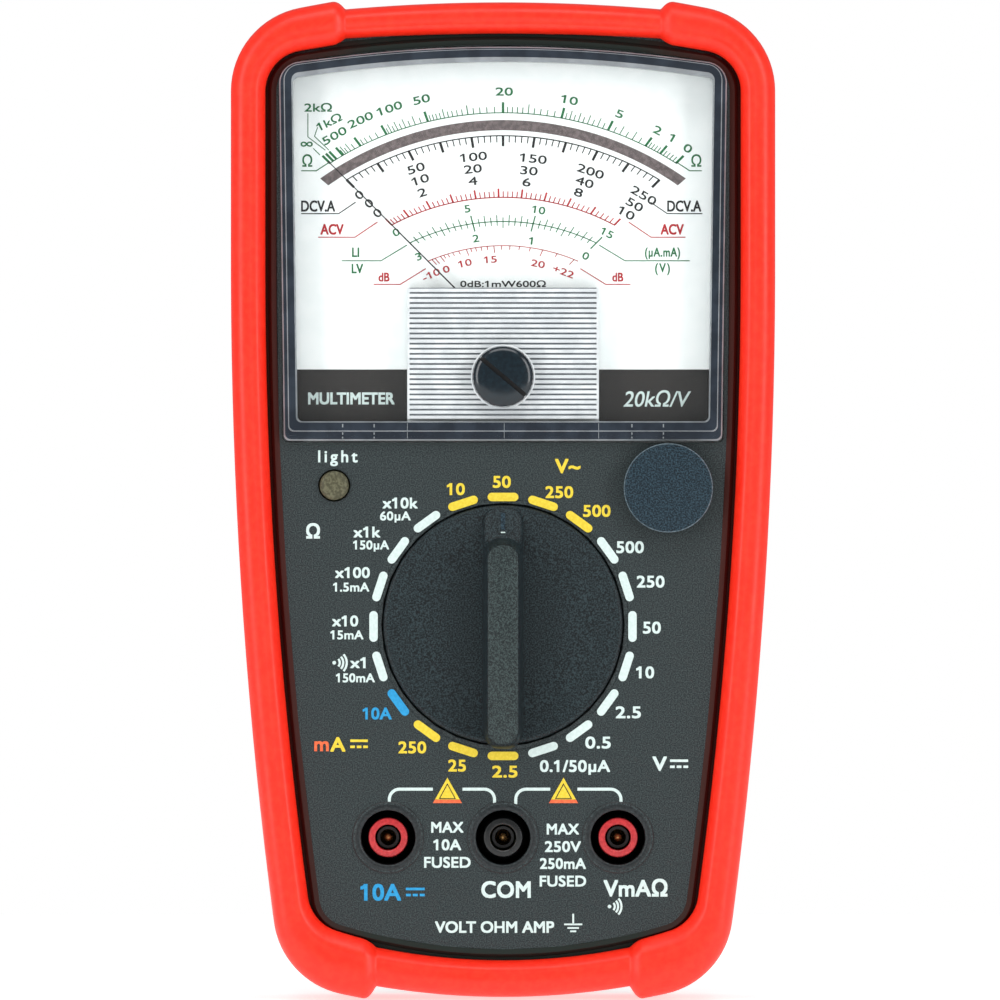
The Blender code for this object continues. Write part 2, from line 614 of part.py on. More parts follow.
def ohm_adjuster():
    x, z = OHM_KNOB
    count = 30
    flutes = []
    for i in range(2 * count):
        radius = OHM_RADIUS - (0.25 if i % 2 else 0)
        turn = math.pi * i / count
        flutes.append((x + radius * math.cos(turn), z + radius * math.sin(turn)))
    knob = plate("ohm_adjust_knob", [flutes], -19.0, FACE - 0.35, "blue_grey_plastic")
    neck = [(0, -17), (OHM_NECK, -17), (OHM_NECK, -12.3), (2, -12.3), (2, -9.8), (0, -9.8)]
    join(knob, turned("knob_neck", neck, OHM_KNOB, steps=20))
    body = rod("ohm_potentiometer", 7.8, -9.5, PCB_FRONT - GAP, OHM_KNOB, "steel", 20)
    depth = (PCB_FRONT - 1.2, PCB_FRONT - GAP)
    join(body, *[box("pot_pin", (x + u, x + u + 0.8), depth, (74.6, 79)) for u in (-3, -0.4, 2.2)])


def light_control():
    x, z = LIGHT_BUTTON
    r = BUTTON_RADIUS
    profile = [(0, -17.1), (r * 0.7, -17.1), (r, -16.7), (r, -12.1), (3.5, -12.1), (3.5, -11.1), (0, -11.1)]
    turned("light_button", profile, LIGHT_BUTTON, "button_plastic")
    rod("switch_plunger", 1.6, -10.8, -8.4, LIGHT_BUTTON, "black_plastic", 12)
    switch = box("light_switch", (x - 3, x + 3), (-8.8, PCB_FRONT - GAP), (z - 3, z + 3), "black_plastic")
    cut(switch, rod("plunger_way", 1.9, -12, -6.9, LIGHT_BUTTON, steps=12))
    for name, place in (("dial_led_left", -15.0), ("dial_led_right", 15.0)):
        profile = [(0, 88.9), (1.1, 88.4), (1.5, 87.4), (1.5, 84.0), (0, 84.0)]
        led = turned(name, profile, (place, -9.0), "clear_plastic", "Z", 12)
        for u in (-0.9, 0.5):
            legs = (place + u, place + u + 0.4)
            join(led, box("led_leg", legs, (-9.2, -8.8), (82.4, 84.4)))
            join(led, box("led_foot", legs, (-9.0, PCB_FRONT - GAP), (82.2, 82.6)))


# ---- jacks, board and power ----


def jacks():
    names = (("10a", "red_plastic"), ("com", "black_plastic"), ("vma", "red_plastic"))
    for (name, colour), x in zip(names, JACKS):
        sleeve = [(2.125, -15.6), (3.25, -15.6), (3.25, -4.7), (2.125, -4.7)]
        turned(f"jack_insulator_{name}", sleeve[1:] + sleeve[:1], (x, JACK_HEIGHT), colour, ring=True)
        cup = [(0, -6.0), (1.35, -6.0), (1.35, -12.6), (1.8, -12.6), (1.8, -4.7), (0, -4.7)]
        turned(f"jack_contact_{name}", cup, (x, JACK_HEIGHT), "brass", steps=16)


def board():
    outline = [(30.5, 17.5), (31.8, 88.5), (-31.8, 88.5), (-30.5, 17.5)]
    holes = [circle(3.0, (0, KNOB), 16)] + [circle(1.6, at, 10) for at in PCB_SCREWS]
    plate("main_board", [outline] + holes, PCB_FRONT, PCB_BACK, "phenolic")
    for name, middle in FUSES.items():
        fuse = hinge_rod(name, 2.6, 20, "glass")
        fuse.matrix_world = Matrix.Translation(
            (middle * MM, FUSE_Y * MM, FUSE_HEIGHT * MM)
        ) @ Matrix.Rotation(math.radians(90), 4, "Y")
        holder = box(f"{name}_holder", (middle - 10, middle + 10), (PCB_FRONT - 1.2, PCB_FRONT - GAP),
                     (FUSE_HEIGHT - 3.4, FUSE_HEIGHT + 3.4), "steel")
        for side in (-8.2, 8.2):
            ends = (middle + side - 1.5, middle + side + 1.5)
            clip = box("fuse_clip", ends, (-10.4, -5), (FUSE_HEIGHT - 3.4, FUSE_HEIGHT + 3.4))
            join(holder, clip)
        cut(holder, box("clip_room", (middle - 20, middle + 20), (-20, PCB_FRONT - 1.3),
                        (FUSE_HEIGHT - 2.9, FUSE_HEIGHT + 2.9)))
    rod("buzzer", 8.0, 13.0, CASE_BACK - WALL - GAP, (22.0, 104.0), "black_plastic", 20)


def batteries():
    for name, x in (("aa_cell_left", 7.3), ("aa_cell_right", 22.9)):
        profile = [(0, 69.9), (2.75, 69.9), (2.75, 68.6), (6.9, 68.6), (7.25, 68.0)]
        profile += [(7.25, 19.8), (6.9, 19.4), (0, 19.4)]
        turned(name, profile, (x, 10.2), "cell_jacket", "Z", 20)
        box(f"battery_terminal_{name[8:]}", (x - 4, x + 4), (6.2, 14.2), (70.3, 71.3), "steel")
    box("battery_link", (3.3, 26.9), (6.2, 14.2), (18.5, 19.1), "steel")
    block = box("nine_volt_battery", (-29.8, -3.3), (0.6, 18.0), (18.6, 65.0), "cell_jacket")
    round_edges(block, 1.2, 2)
    for x, radius in ((-22.9, 3.2), (-10.2, 3.9)):
        studs = [(0, 67.1), (radius, 67.1), (radius, 64.0), (0, 64.0)]
        join(block, turned("stud", studs, (x, 9.3), None, "Z", 12))
    box("battery_snap", (-28.0, -5.1), (3.3, 15.3), (67.4, 70.6), "black_plastic")


def screws():
    for i, at in enumerate(CASE_SCREWS):
        screw(f"case_screw_{i + 1}", at, 14.8, -6.0)
    for i, at in enumerate(PCB_SCREWS):
        screw(f"board_screw_{i + 1}", at, PCB_BACK + GAP, -10.0, 1.0, 2.4, 1.2)
    screw("battery_cover_screw", (0, COVER_SCREW), CASE_BACK + 0.1, 9.5, 1.3, 2.5, 1.0)


def build():
    clear_scene()
    make_materials()
    for step in (holster, front_case, rear_case, battery_cover, tilt_stand, lens, dial_and_carrier,
                 movement_cover, magnet_system, moving_coil, needle, zero_adjuster, range_knob,
                 switch_parts, ohm_adjuster, light_control, jacks, board, batteries, screws):
        step()
    hairspring("front_hairspring", -12.2)
    hairspring("rear_hairspring", 3.7)
    hinge_rod("stand_pin", 1.0, 52, "steel")


build()
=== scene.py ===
"""Looks of the analog multimeter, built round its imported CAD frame.

+X is to the right of the face, the face looks towards -Y and +Z is up. Shapes are worked out in
millimetres, as (x, z) outlines seen from the front with a depth y, and become metres in new_piece.
"""

import json
import math

import bmesh
import bpy
from mathutils import Matrix, Vector


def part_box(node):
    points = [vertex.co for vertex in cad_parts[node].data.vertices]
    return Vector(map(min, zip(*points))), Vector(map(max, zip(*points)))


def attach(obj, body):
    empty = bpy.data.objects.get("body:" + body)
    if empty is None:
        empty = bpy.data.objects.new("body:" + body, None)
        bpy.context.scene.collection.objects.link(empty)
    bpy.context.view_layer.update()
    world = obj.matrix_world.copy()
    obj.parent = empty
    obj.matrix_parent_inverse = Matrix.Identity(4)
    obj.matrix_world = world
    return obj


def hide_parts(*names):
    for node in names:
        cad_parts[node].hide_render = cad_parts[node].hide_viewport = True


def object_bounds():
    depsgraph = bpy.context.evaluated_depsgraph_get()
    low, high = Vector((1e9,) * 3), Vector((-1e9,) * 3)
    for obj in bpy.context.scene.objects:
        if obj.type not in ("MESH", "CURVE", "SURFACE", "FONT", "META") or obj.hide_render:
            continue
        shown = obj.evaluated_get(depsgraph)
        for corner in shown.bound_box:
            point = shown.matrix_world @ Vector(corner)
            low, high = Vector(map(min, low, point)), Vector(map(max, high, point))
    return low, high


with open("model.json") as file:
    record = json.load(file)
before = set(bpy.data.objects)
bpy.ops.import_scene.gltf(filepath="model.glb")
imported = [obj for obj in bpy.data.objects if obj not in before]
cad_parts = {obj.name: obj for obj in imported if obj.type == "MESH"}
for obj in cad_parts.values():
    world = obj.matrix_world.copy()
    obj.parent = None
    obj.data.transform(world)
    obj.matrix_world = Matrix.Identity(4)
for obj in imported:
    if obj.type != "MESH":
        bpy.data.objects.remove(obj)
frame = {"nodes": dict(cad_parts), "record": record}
cad_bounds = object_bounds()

MM = 0.001
TAU = 2 * math.pi


def node_box(node):
    """A CAD node's lowest and highest corners, in millimetres."""
    low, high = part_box(node)
    return low / MM, high / MM


def node_middle(node):
    low, high = node_box(node)
    return (low + high) / 2


# places that the CAD gives, in millimetres
HOLSTER_HIGH = node_box("holster")[1]
HALF = HOLSTER_HIGH.x
FACE = node_box("front_case")[0].y + 0.3  # the jack rims stand 0.3 mm proud of the flat face
DIAL = node_box("dial_plate")[0].y
LENS_LOW, LENS_HIGH = node_box("meter_lens")
COVER_LOW, COVER_HIGH = node_box("movement_cover")
KNOB_LOW, KNOB_HIGH = node_box("range_knob")
KNOB_RADIUS = KNOB_HIGH.x
KNOB = node_middle("switch_rotor").z
OHM_KNOB, LIGHT, ZERO = (node_middle(n) for n in ("ohm_adjust_knob", "light_button", "zero_screw"))
JACKS = {n: node_middle(f"jack_insulator_{n}") for n in ("10a", "com", "vma")}
PIVOT = node_middle("yoke_ring").z
SCALE_CENTRE = PIVOT - 16.3  # the printed arcs are struck from below the pivot
SWING = 45.0  # the needle swings this far to each side of upright


# ---- materials ----


def linear(red, green, blue):
    """An 8-bit screen colour as the linear colour that shaders take."""
    return tuple(((c / 255 + 0.055) / 1.055) ** 2.4 if c > 10 else c / 255 / 12.92 for c in (red, green, blue))


def shader_of(name):
    made = bpy.data.materials.new(name)
    made.use_nodes = True
    return made, made.node_tree, made.node_tree.nodes["Principled BSDF"]


def add(tree, kind, **values):
    node = tree.nodes.new(kind)
    for key, value in values.items():
        if key in node.inputs:
            node.inputs[key].default_value = value
        else:
            setattr(node, key, value)
    return node


def noise(tree, size, detail=2.0, stretch=(1, 1, 1)):
    """Noise whose features are about size millimetres wide, in the piece's own coordinates."""
    place = add(tree, "ShaderNodeTexCoord")
    mapping = add(tree, "ShaderNodeMapping")
    mapping.inputs["Scale"].default_value = stretch
    made = add(tree, "ShaderNodeTexNoise", Scale=1 / (size * MM), Detail=detail)
    tree.links.new(place.outputs["Object"], mapping.inputs["Vector"])
    tree.links.new(mapping.outputs["Vector"], made.inputs["Vector"])
    return made.outputs["Fac"]


def ramp(tree, value, *stops):
    """A colour ramp; each stop is (position, colour)."""
    made = add(tree, "ShaderNodeValToRGB")
    while len(made.color_ramp.elements) < len(stops):
        made.color_ramp.elements.new(0.5)
    for element, (position, colour) in zip(made.color_ramp.elements, stops):
        element.position = position
        element.color = (*colour, 1)
    tree.links.new(value, made.inputs["Fac"])
    return made.outputs["Color"]


def bump(tree, shader, value, height, strength=1.0):
    made = add(tree, "ShaderNodeBump", Strength=strength, Distance=height * MM)
    tree.links.new(value, made.inputs["Height"])
    tree.links.new(made.outputs["Normal"], shader.inputs["Normal"])


def moulded(name, dark, light, rough, grain=0.3, depth=0.02, metallic=0.0, spread=(0.42, 0.62), specular=0.5):
    """Moulded plastic, rubber or paint: a fine grain in colour, gloss and relief."""
    made, tree, shader = shader_of(name)
    fine = noise(tree, grain, 3)
    colour = ramp(tree, fine, (spread[0], dark), (spread[1], light))
    tree.links.new(colour, shader.inputs["Base Color"])
    gloss = ramp(tree, noise(tree, grain * 9, 2), (0.35, (rough * 0.9,) * 3), (0.65, (rough * 1.1,) * 3))
    tree.links.new(gloss, shader.inputs["Roughness"])
    shader.inputs["Metallic"].default_value = metallic
    shader.inputs["Specular IOR Level"].default_value = specular
    bump(tree, shader, fine, depth)
    return made


def clear(name, tint, alpha, rough):
    made, tree, shader = shader_of(name)
    haze = ramp(tree, noise(tree, 6, 2), (0.4, (rough * 0.8,) * 3), (0.6, (rough * 1.3,) * 3))
    tree.links.new(haze, shader.inputs["Roughness"])
    tint_out = ramp(tree, noise(tree, 9, 1), (0.3, tint), (0.7, tuple(c * 0.96 for c in tint)))
    tree.links.new(tint_out, shader.inputs["Base Color"])
    shader.inputs["Alpha"].default_value = alpha
    return made


def edge_shade():
    """Painted shade along the rubber lip: near-black, turning into a painted red reflection of the rubber towards both
    sides.
    """
    made, tree, shader = shader_of("lip_shade_and_red_reflection")
    place = add(tree, "ShaderNodeTexCoord")
    split = add(tree, "ShaderNodeSeparateXYZ")
    tree.links.new(place.outputs["Object"], split.inputs["Vector"])
    distance = add(tree, "ShaderNodeMath", operation="ABSOLUTE")
    tree.links.new(split.outputs["X"], distance.inputs[0])
    share = add(tree, "ShaderNodeMapRange")
    share.inputs["From Min"].default_value = 22 * MM
    share.inputs["From Max"].default_value = 36 * MM
    tree.links.new(distance.outputs["Value"], share.inputs["Value"])
    # painted shade in the middle, painted red reflection of the rubber towards the sides
    colour = ramp(tree, share.outputs["Result"], (0.0, linear(26, 34, 30)), (1.0, linear(58, 20, 14)))
    tree.links.new(colour, shader.inputs["Base Color"])
    grain = noise(tree, 0.2, 3)
    gloss = ramp(tree, grain, (0.35, (0.55,) * 3), (0.65, (0.65,) * 3))
    tree.links.new(gloss, shader.inputs["Roughness"])
    shader.inputs["Specular IOR Level"].default_value = 0.2
    bump(tree, shader, grain, 0.02)
    return made


def make_finishes():
    case_dark, case_light = linear(24, 32, 34), linear(57, 67, 68)
    return {
        "rubber_red": moulded("rubber_red", linear(247, 38, 16), linear(252, 46, 23), 0.44, 1.2, 0.003, specular=0.4),
        "case_plastic": moulded("case_plastic", case_dark, case_light, 0.55, 0.2, 0.02, specular=0.3),
        "knob_plastic": moulded("knob_plastic", linear(8, 15, 18), linear(42, 56, 60), 0.5, 0.25, 0.02, specular=0.25),
        "grip_plastic": moulded("grip_plastic", linear(22, 30, 31), linear(58, 71, 71), 0.5, 0.19, 0.015, specular=0.3),
        "blue_grey_plastic": moulded(
            "blue_grey_plastic", linear(8, 20, 28), linear(44, 66, 78), 0.5, 0.25, 0.02, specular=0.25),
        "button_plastic": moulded(
            "button_plastic", linear(70, 69, 52), linear(98, 97, 76), 0.5, 0.4, 0.02, specular=0.25),
        "clear_plastic": clear("clear_plastic", (0.3, 0.34, 0.36), 0.02, 0.06),
        "lens_body": moulded("lens_body", linear(30, 37, 46), linear(40, 48, 58), 0.2, 3.0, 0.001),
        # painted highlights along the lens rim's edges
        "lens_rim_highlight": moulded("lens_rim_highlight", linear(122, 128, 132), linear(138, 145, 150), 0.3, 3.0, 0.001),
        "dial_white": moulded("dial_white", linear(242, 249, 248), linear(246, 252, 251), 0.6, 2.5, 0.001),
        "silver_plastic": moulded(
            "silver_plastic", linear(214, 220, 223), linear(230, 235, 237), 0.35, 3.0, 0.001, 0.1),
        "black_metal": moulded("black_metal", linear(10, 10, 11), linear(22, 22, 23), 0.4, 0.3, 0.004),
        "black_plastic": moulded("black_plastic", linear(10, 12, 13), linear(24, 27, 28), 0.3, 0.3, 0.006),
        "red_plastic": moulded("red_plastic", linear(170, 34, 40), linear(192, 48, 52), 0.35, 0.5, 0.006),
        "brass": moulded("brass", linear(160, 118, 70), linear(206, 164, 104), 0.3, 0.3, 0.004, 0.8),
        "steel": moulded("steel", linear(150, 152, 155), linear(190, 192, 194), 0.35, 0.3, 0.006, 1.0),
        "iron": moulded("iron", linear(96, 97, 100), linear(130, 131, 133), 0.5, 0.4, 0.01, 1.0),
        "copper_wire": moulded("copper_wire", linear(170, 84, 42), linear(214, 120, 70), 0.4, 0.2, 0.02, 1.0),
        "phenolic": moulded("phenolic", linear(62, 98, 58), linear(80, 120, 74), 0.6, 0.5, 0.01),
        "glass": clear("glass", (0.9, 0.94, 0.94), 0.35, 0.05),
        "cell_jacket": moulded("cell_jacket", linear(48, 58, 120), linear(64, 76, 146), 0.35, 1.5, 0.004),
        "ink_white": moulded("ink_white", linear(196, 214, 211), linear(206, 223, 220), 0.55, 0.5, 0.004),
        "ink_yellow": moulded("ink_yellow", linear(216, 190, 42), linear(226, 202, 58), 0.55, 0.5, 0.004),
        "ink_orange": moulded("ink_orange", linear(214, 92, 50), linear(226, 110, 62), 0.55, 0.5, 0.004),
        "ink_blue": moulded("ink_blue", linear(18, 138, 192), linear(28, 150, 206), 0.55, 0.5, 0.004),
        "ink_green": moulded("ink_green", linear(2, 96, 48), linear(12, 112, 60), 0.6, 0.5, 0.002),
        "ink_black": moulded("ink_black", linear(4, 4, 4), linear(12, 12, 12), 0.6, 0.5, 0.002),
        "ink_red": moulded("ink_red", linear(160, 8, 24), linear(180, 20, 34), 0.6, 0.5, 0.002),
        "mirror_band": moulded("mirror_band", linear(92, 84, 84), linear(116, 106, 106), 0.3, 0.8, 0.002),
        "strip_brown": moulded("strip_brown", linear(20, 16, 12), linear(32, 27, 22), 0.55, 0.5, 0.002),
        # painted shade in the grooves of the movement cover
        "rib_groove_shade": moulded("rib_groove_shade", linear(98, 104, 108), linear(116, 122, 126), 0.5, 2.0, 0.001),
        "zero_black": moulded("zero_black", linear(8, 22, 30), linear(16, 32, 40), 0.2, 0.6, 0.001),
        # painted shadow and red reflection along the rubber lip
        "lip_shade_and_red_reflection": edge_shade(),
        # painted highlight on the ohm knob's front edge
        "ohm_rim_highlight": moulded("ohm_rim_highlight", linear(62, 80, 90), linear(100, 118, 126), 0.4, 0.3, 0.004),
        # painted shade round the jack recesses, darker than the case plastic
        "jack_collar_shade": moulded("jack_collar_shade", linear(22, 27, 29), linear(38, 44, 46), 0.4, 0.3, 0.008, specular=0.35),
    }


finishes = make_finishes()


# ---- pieces ----


def new_piece(name, bm, finish, body="case", replaced=(), sharp=32, smooth=True):
    """Turns a bmesh in millimetres into a piece in metres that rides on a body."""
    bmesh.ops.remove_doubles(bm, verts=bm.verts, dist=0.0004)
    bmesh.ops.recalc_face_normals(bm, faces=bm.faces)
    bm.transform(Matrix.Scale(MM, 4))
    mesh = bpy.data.meshes.new(name)
    bm.to_mesh(mesh)
    bm.free()
    if smooth:
        mesh.shade_smooth()
        mesh.set_sharp_from_angle(angle=math.radians(sharp))
    mesh.materials.append(finishes[finish])
    piece = bpy.data.objects.new(name, mesh)
    bpy.context.scene.collection.objects.link(piece)
    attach(piece, body)
    if replaced:
        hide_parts(*replaced)
    return piece


def skin(bm, rings, around=True, along=False):
    """Faces between rings of equal length. around closes each ring, along joins last to first."""
    grid = [[bm.verts.new(point) for point in ring] for ring in rings]
    count = len(grid[0])
    for i in range(len(grid) if along else len(grid) - 1):
        first, second = grid[i], grid[(i + 1) % len(grid)]
        for k in range(count if around else count - 1):
            bm.faces.new((first[k], first[(k + 1) % count], second[(k + 1) % count], second[k]))
    return grid


def stack(bm, layers):
    """A closed loft through layers of (outline, depth), each outline a list of (x, z)."""
    grid = skin(bm, [[(x, y, z) for x, z in outline] for outline, y in layers])
    bm.faces.new(grid[0])
    bm.faces.new(grid[-1])


def turned(bm, profile, at, steps=96, closed=False):
    """Turns a (radius, depth) profile about the depth axis through at; closed makes a ring."""
    rings = []
    for i in range(steps):
        turn = TAU * i / steps
        rings.append([(at[0] + r * math.cos(turn), y, at[1] + r * math.sin(turn)) for r, y in profile])
    skin(bm, rings, around=closed, along=True)


def arc_points(centre, radius, start, end, steps):
    """Points on an arc in any plane of two coordinates; angles in degrees."""
    points = []
    for i in range(steps + 1):
        turn = math.radians(start + (end - start) * i / steps)
        points.append((centre[0] + radius * math.cos(turn), centre[1] + radius * math.sin(turn)))
    return points


def rounded_bar(half, low, high, radius, steps=8):
    """A rectangle of half width half about x = 0 from low to high, with round corners."""
    corners = ((half - radius, high - radius, 0), (radius - half, high - radius, 90),
               (radius - half, low + radius, 180), (half - radius, low + radius, 270))
    return [p for x, z, turn in corners for p in arc_points((x, z), radius, turn, turn + 90, steps)]


# ---- holster ----

TAPER_START = 121.0  # the sides are straight above this height and curve inwards below it
BUMPER_TOP, BUMPER_BOTTOM = 27.2, 22.1  # half widths of the recessed stretches between bumpers
BUMPER_STEP = 2.2  # width over which a bumper rises
OUTSIDE = dict(half=HALF, top=164.8, bottom=0.3, r_top=295, r_bottom=123, r_side=825, corner=14.0,
               lift_top=1.5, lift_bottom=-2.38, slope_top=0.08, slope_bottom=0.0)
OPENING = dict(half=39.3, top=159.6, bottom=6.4, r_top=420, r_bottom=102, r_side=770, corner=6.8,
               lift_top=-0.9, lift_bottom=0.9, slope_top=0.094, slope_bottom=0.05)


def thickness(x, edge):
    """How far the holster is built up to a bumper at a distance x from the centre line, 0 to 1."""
    return 1 - (1 - min(1.0, max(0.0, (x - edge) / BUMPER_STEP + 0.5))) ** 2


def inset(shape, distance):
    return dict(shape, half=shape["half"] - distance, top=shape["top"] - distance,
                bottom=shape["bottom"] + distance, corner=shape["corner"] - distance,
                lift_top=0.0, lift_bottom=0.0)


def side_x(shape, z):
    return shape["half"] - max(0.0, TAPER_START - z) ** 2 / (2 * shape["r_side"])


def end_z(shape, x, end):
    """Height of the shape's top or bottom edge at x."""
    edge = BUMPER_TOP if end == "top" else BUMPER_BOTTOM
    rise = x * x / (2 * shape["r_" + end])
    lift = shape["lift_" + end] * thickness(x, edge)
    lift += shape["slope_" + end] * max(0.0, x - edge) * (1 if end == "bottom" else -1)
    return shape[end] + lift + (rise if end == "bottom" else -rise)


def end_stations(edge):
    """Places along half of an end, close together where a bumper rises."""
    coarse = [edge * i / 9 for i in range(9)]
    fine = [edge - BUMPER_STEP * 0.65 + BUMPER_STEP * 1.3 * i / 12 for i in range(13)]
    return coarse + fine


def corner_circle(shape, end):
    """Centre and the two tangent turns of the circle that rounds a corner."""
    radius = shape["corner"]
    sign = -1 if end == "top" else 1
    x_end, z_side = shape["half"] - radius, shape[end] + sign * radius
    for _ in range(30):
        slope = math.atan(x_end / shape["r_" + end] + shape["slope_" + end])
        lean = math.atan(max(0.0, TAPER_START - z_side) / shape["r_side"])
        centre_x = side_x(shape, z_side) - radius * math.cos(lean)
        centre_z = end_z(shape, x_end, end) + sign * radius * math.cos(slope)
        x_end = centre_x + radius * math.sin(slope)
        z_side = centre_z - radius * math.sin(lean) * (1 if end == "bottom" else 0)
    return (centre_x, centre_z), x_end, z_side, math.degrees(slope), math.degrees(lean)


def holster_outline(shape):
    """Right half of an outline from the top centre to the bottom centre, as (x, z, build-up)."""
    points = [(x, end_z(shape, x, "top"), thickness(x, BUMPER_TOP)) for x in end_stations(BUMPER_TOP)]
    centre, x_end, z_top, slope, _ = corner_circle(shape, "top")
    start = points[-1][0]
    for i in range(1, 4):
        x = start + (x_end - start) * i / 4
        points.append((x, end_z(shape, x, "top"), 1.0))
    points += [(x, z, 1.0) for x, z in arc_points(centre, shape["corner"], 90 - slope, 0, 16)]
    low_centre, x_low, z_low, low_slope, lean = corner_circle(shape, "bottom")
    for i in range(1, 22):
        z = z_top + (z_low - z_top) * i / 22
        points.append((side_x(shape, z), z, 1.0))
    points += [(x, z, 1.0) for x, z in arc_points(low_centre, shape["corner"], -lean, low_slope - 90, 16)]
    stations = end_stations(BUMPER_BOTTOM)
    for i in range(1, 3):
        x = x_low + (stations[-1] - x_low) * i / 3
        points.append((x, end_z(shape, x, "bottom"), 1.0))
    points += [(x, end_z(shape, x, "bottom"), thickness(x, BUMPER_BOTTOM)) for x in reversed(stations)]
    return points


def both_sides(half_points):
    return half_points + [(-x, *rest) for x, *rest in reversed(half_points) if x > 0.001]


# the lip from its outer edge (0) to the edge of the opening (1), with the depth at each place
LIP = ((0, -15.8), (0.02, -16.6), (0.06, -17.4), (0.14, -18.2), (0.25, -18.75), (0.38, -19.0), (0.5, -18.98),
       (0.58, -18.88), (0.63, -18.81), (0.68, -18.8), (0.73, -18.78), (0.79, -18.6), (0.86, -18.15),
       (0.93, -17.5), (0.98, -16.9), (1.0, -16.2))
LIP_UNDER = -14.9
RECESS = 1.0  # how much deeper the lip lies between the bumpers
BACK_INSET = 9.0


def build_holster():
    outer = both_sides(holster_outline(OUTSIDE))
    opening = both_sides(holster_outline(OPENING))
    cavity = both_sides(holster_outline(inset(OUTSIDE, 2.3)))
    back = both_sides(holster_outline(inset(OUTSIDE, BACK_INSET)))
    back_face = HOLSTER_HIGH.y
    rings = []
    for o, i, c, b in zip(outer, opening, cavity, back):
        deeper = RECESS * (1 - o[2])
        ring = [between(o, i, s, y + deeper) for s, y in LIP]
        ring += [between(o, i, 1, LIP_UNDER), between(c, c, 0, LIP_UNDER), between(c, c, 0, 20.5)]
        ring += [between(o, b, 1, 20.5), between(o, b, 1, 22.1), between(o, b, 0.95, back_face)]
        for distance, y in ((2.4, back_face), (1.4, 22.35), (0.6, 21.7), (0.12, 20.6), (0, 19.4), (0, 3)):
            ring.append(between(o, b, distance / BACK_INSET, y))
        rings.append(ring)
    bm = bmesh.new()
    skin(bm, rings, around=True, along=True)
    new_piece("holster_skin", bm, "rubber_red", replaced=("holster",), sharp=50)


def build_lip_shade_band():
    """The chamfer round the case's raised face, coloured with the lip's painted shadow and the rubber's painted red
    reflection.
    """
    edge = dict(OPENING, r_top=210, r_bottom=90, slope_top=0.0, slope_bottom=0.0)
    section = ((-0.3, -14.58), (0.42, -14.78), (1.0, FACE - 0.03), (1.8, FACE - 0.03), (1.86, FACE + 0.02),
               (0.5, -14.5), (-0.3, -14.5))
    bm = bmesh.new()
    outlines = [(both_sides(holster_outline(inset(edge, distance))), y) for distance, y in section]
    skin(bm, [[(x, y, z) for x, z, _ in outline] for outline, y in outlines], along=True)
    new_piece("case_face_lip_shade", bm, "lip_shade_and_red_reflection", sharp=40)


def between(first, second, share, y):
    x = first[0] + (second[0] - first[0]) * share
    z = first[1] + (second[1] - first[1]) * share
    return x, y, z


# ---- meter lens ----

LENS_CURVE = 214  # radius of the lens's arched top edge
LENS_CORNER = 3.6
LENS_FLARE = 0.024  # how much wider the lens is at its top, as a share


def lens_outline(distance, low, lift=0.0):
    """The lens's outline, inset by a distance, with its bottom edge at low and its top raised by lift."""
    half, top = LENS_HIGH.x - distance, LENS_HIGH.z - distance + lift
    corner = max(0.8, LENS_CORNER - 1.15 * distance)
    centre_x = half - corner
    slope = math.degrees(math.asin(centre_x / LENS_CURVE))
    centre_z = top - LENS_CURVE + (LENS_CURVE - corner) * math.cos(math.radians(slope))
    right = [(half * 0.8 * i / 12, 0) for i in range(13)]
    right = [(x, top - LENS_CURVE + math.sqrt(LENS_CURVE**2 - x * x)) for x, _ in right]
    right += arc_points((centre_x, centre_z), corner, 90 - slope, 0, 12)
    small = 0.9
    right += arc_points((half - small, low + small), small, 0, -90, 6)
    right = [(x * (1 + LENS_FLARE * (z - low) / (top - low)), z) for x, z in right]
    return right + [(-x, z) for x, z in reversed(right) if x > 0.001]


def rim_ring(name, finish, steps):
    """A ring of the lens rim. Each step is (inset, height of the bottom edge, depth, lift of the top)."""
    bm = bmesh.new()
    rings = [[(x, y, z) for x, z in lens_outline(distance, low, lift)] for distance, low, y, lift in steps]
    skin(bm, rings, along=True)
    new_piece(name, bm, finish, sharp=20)


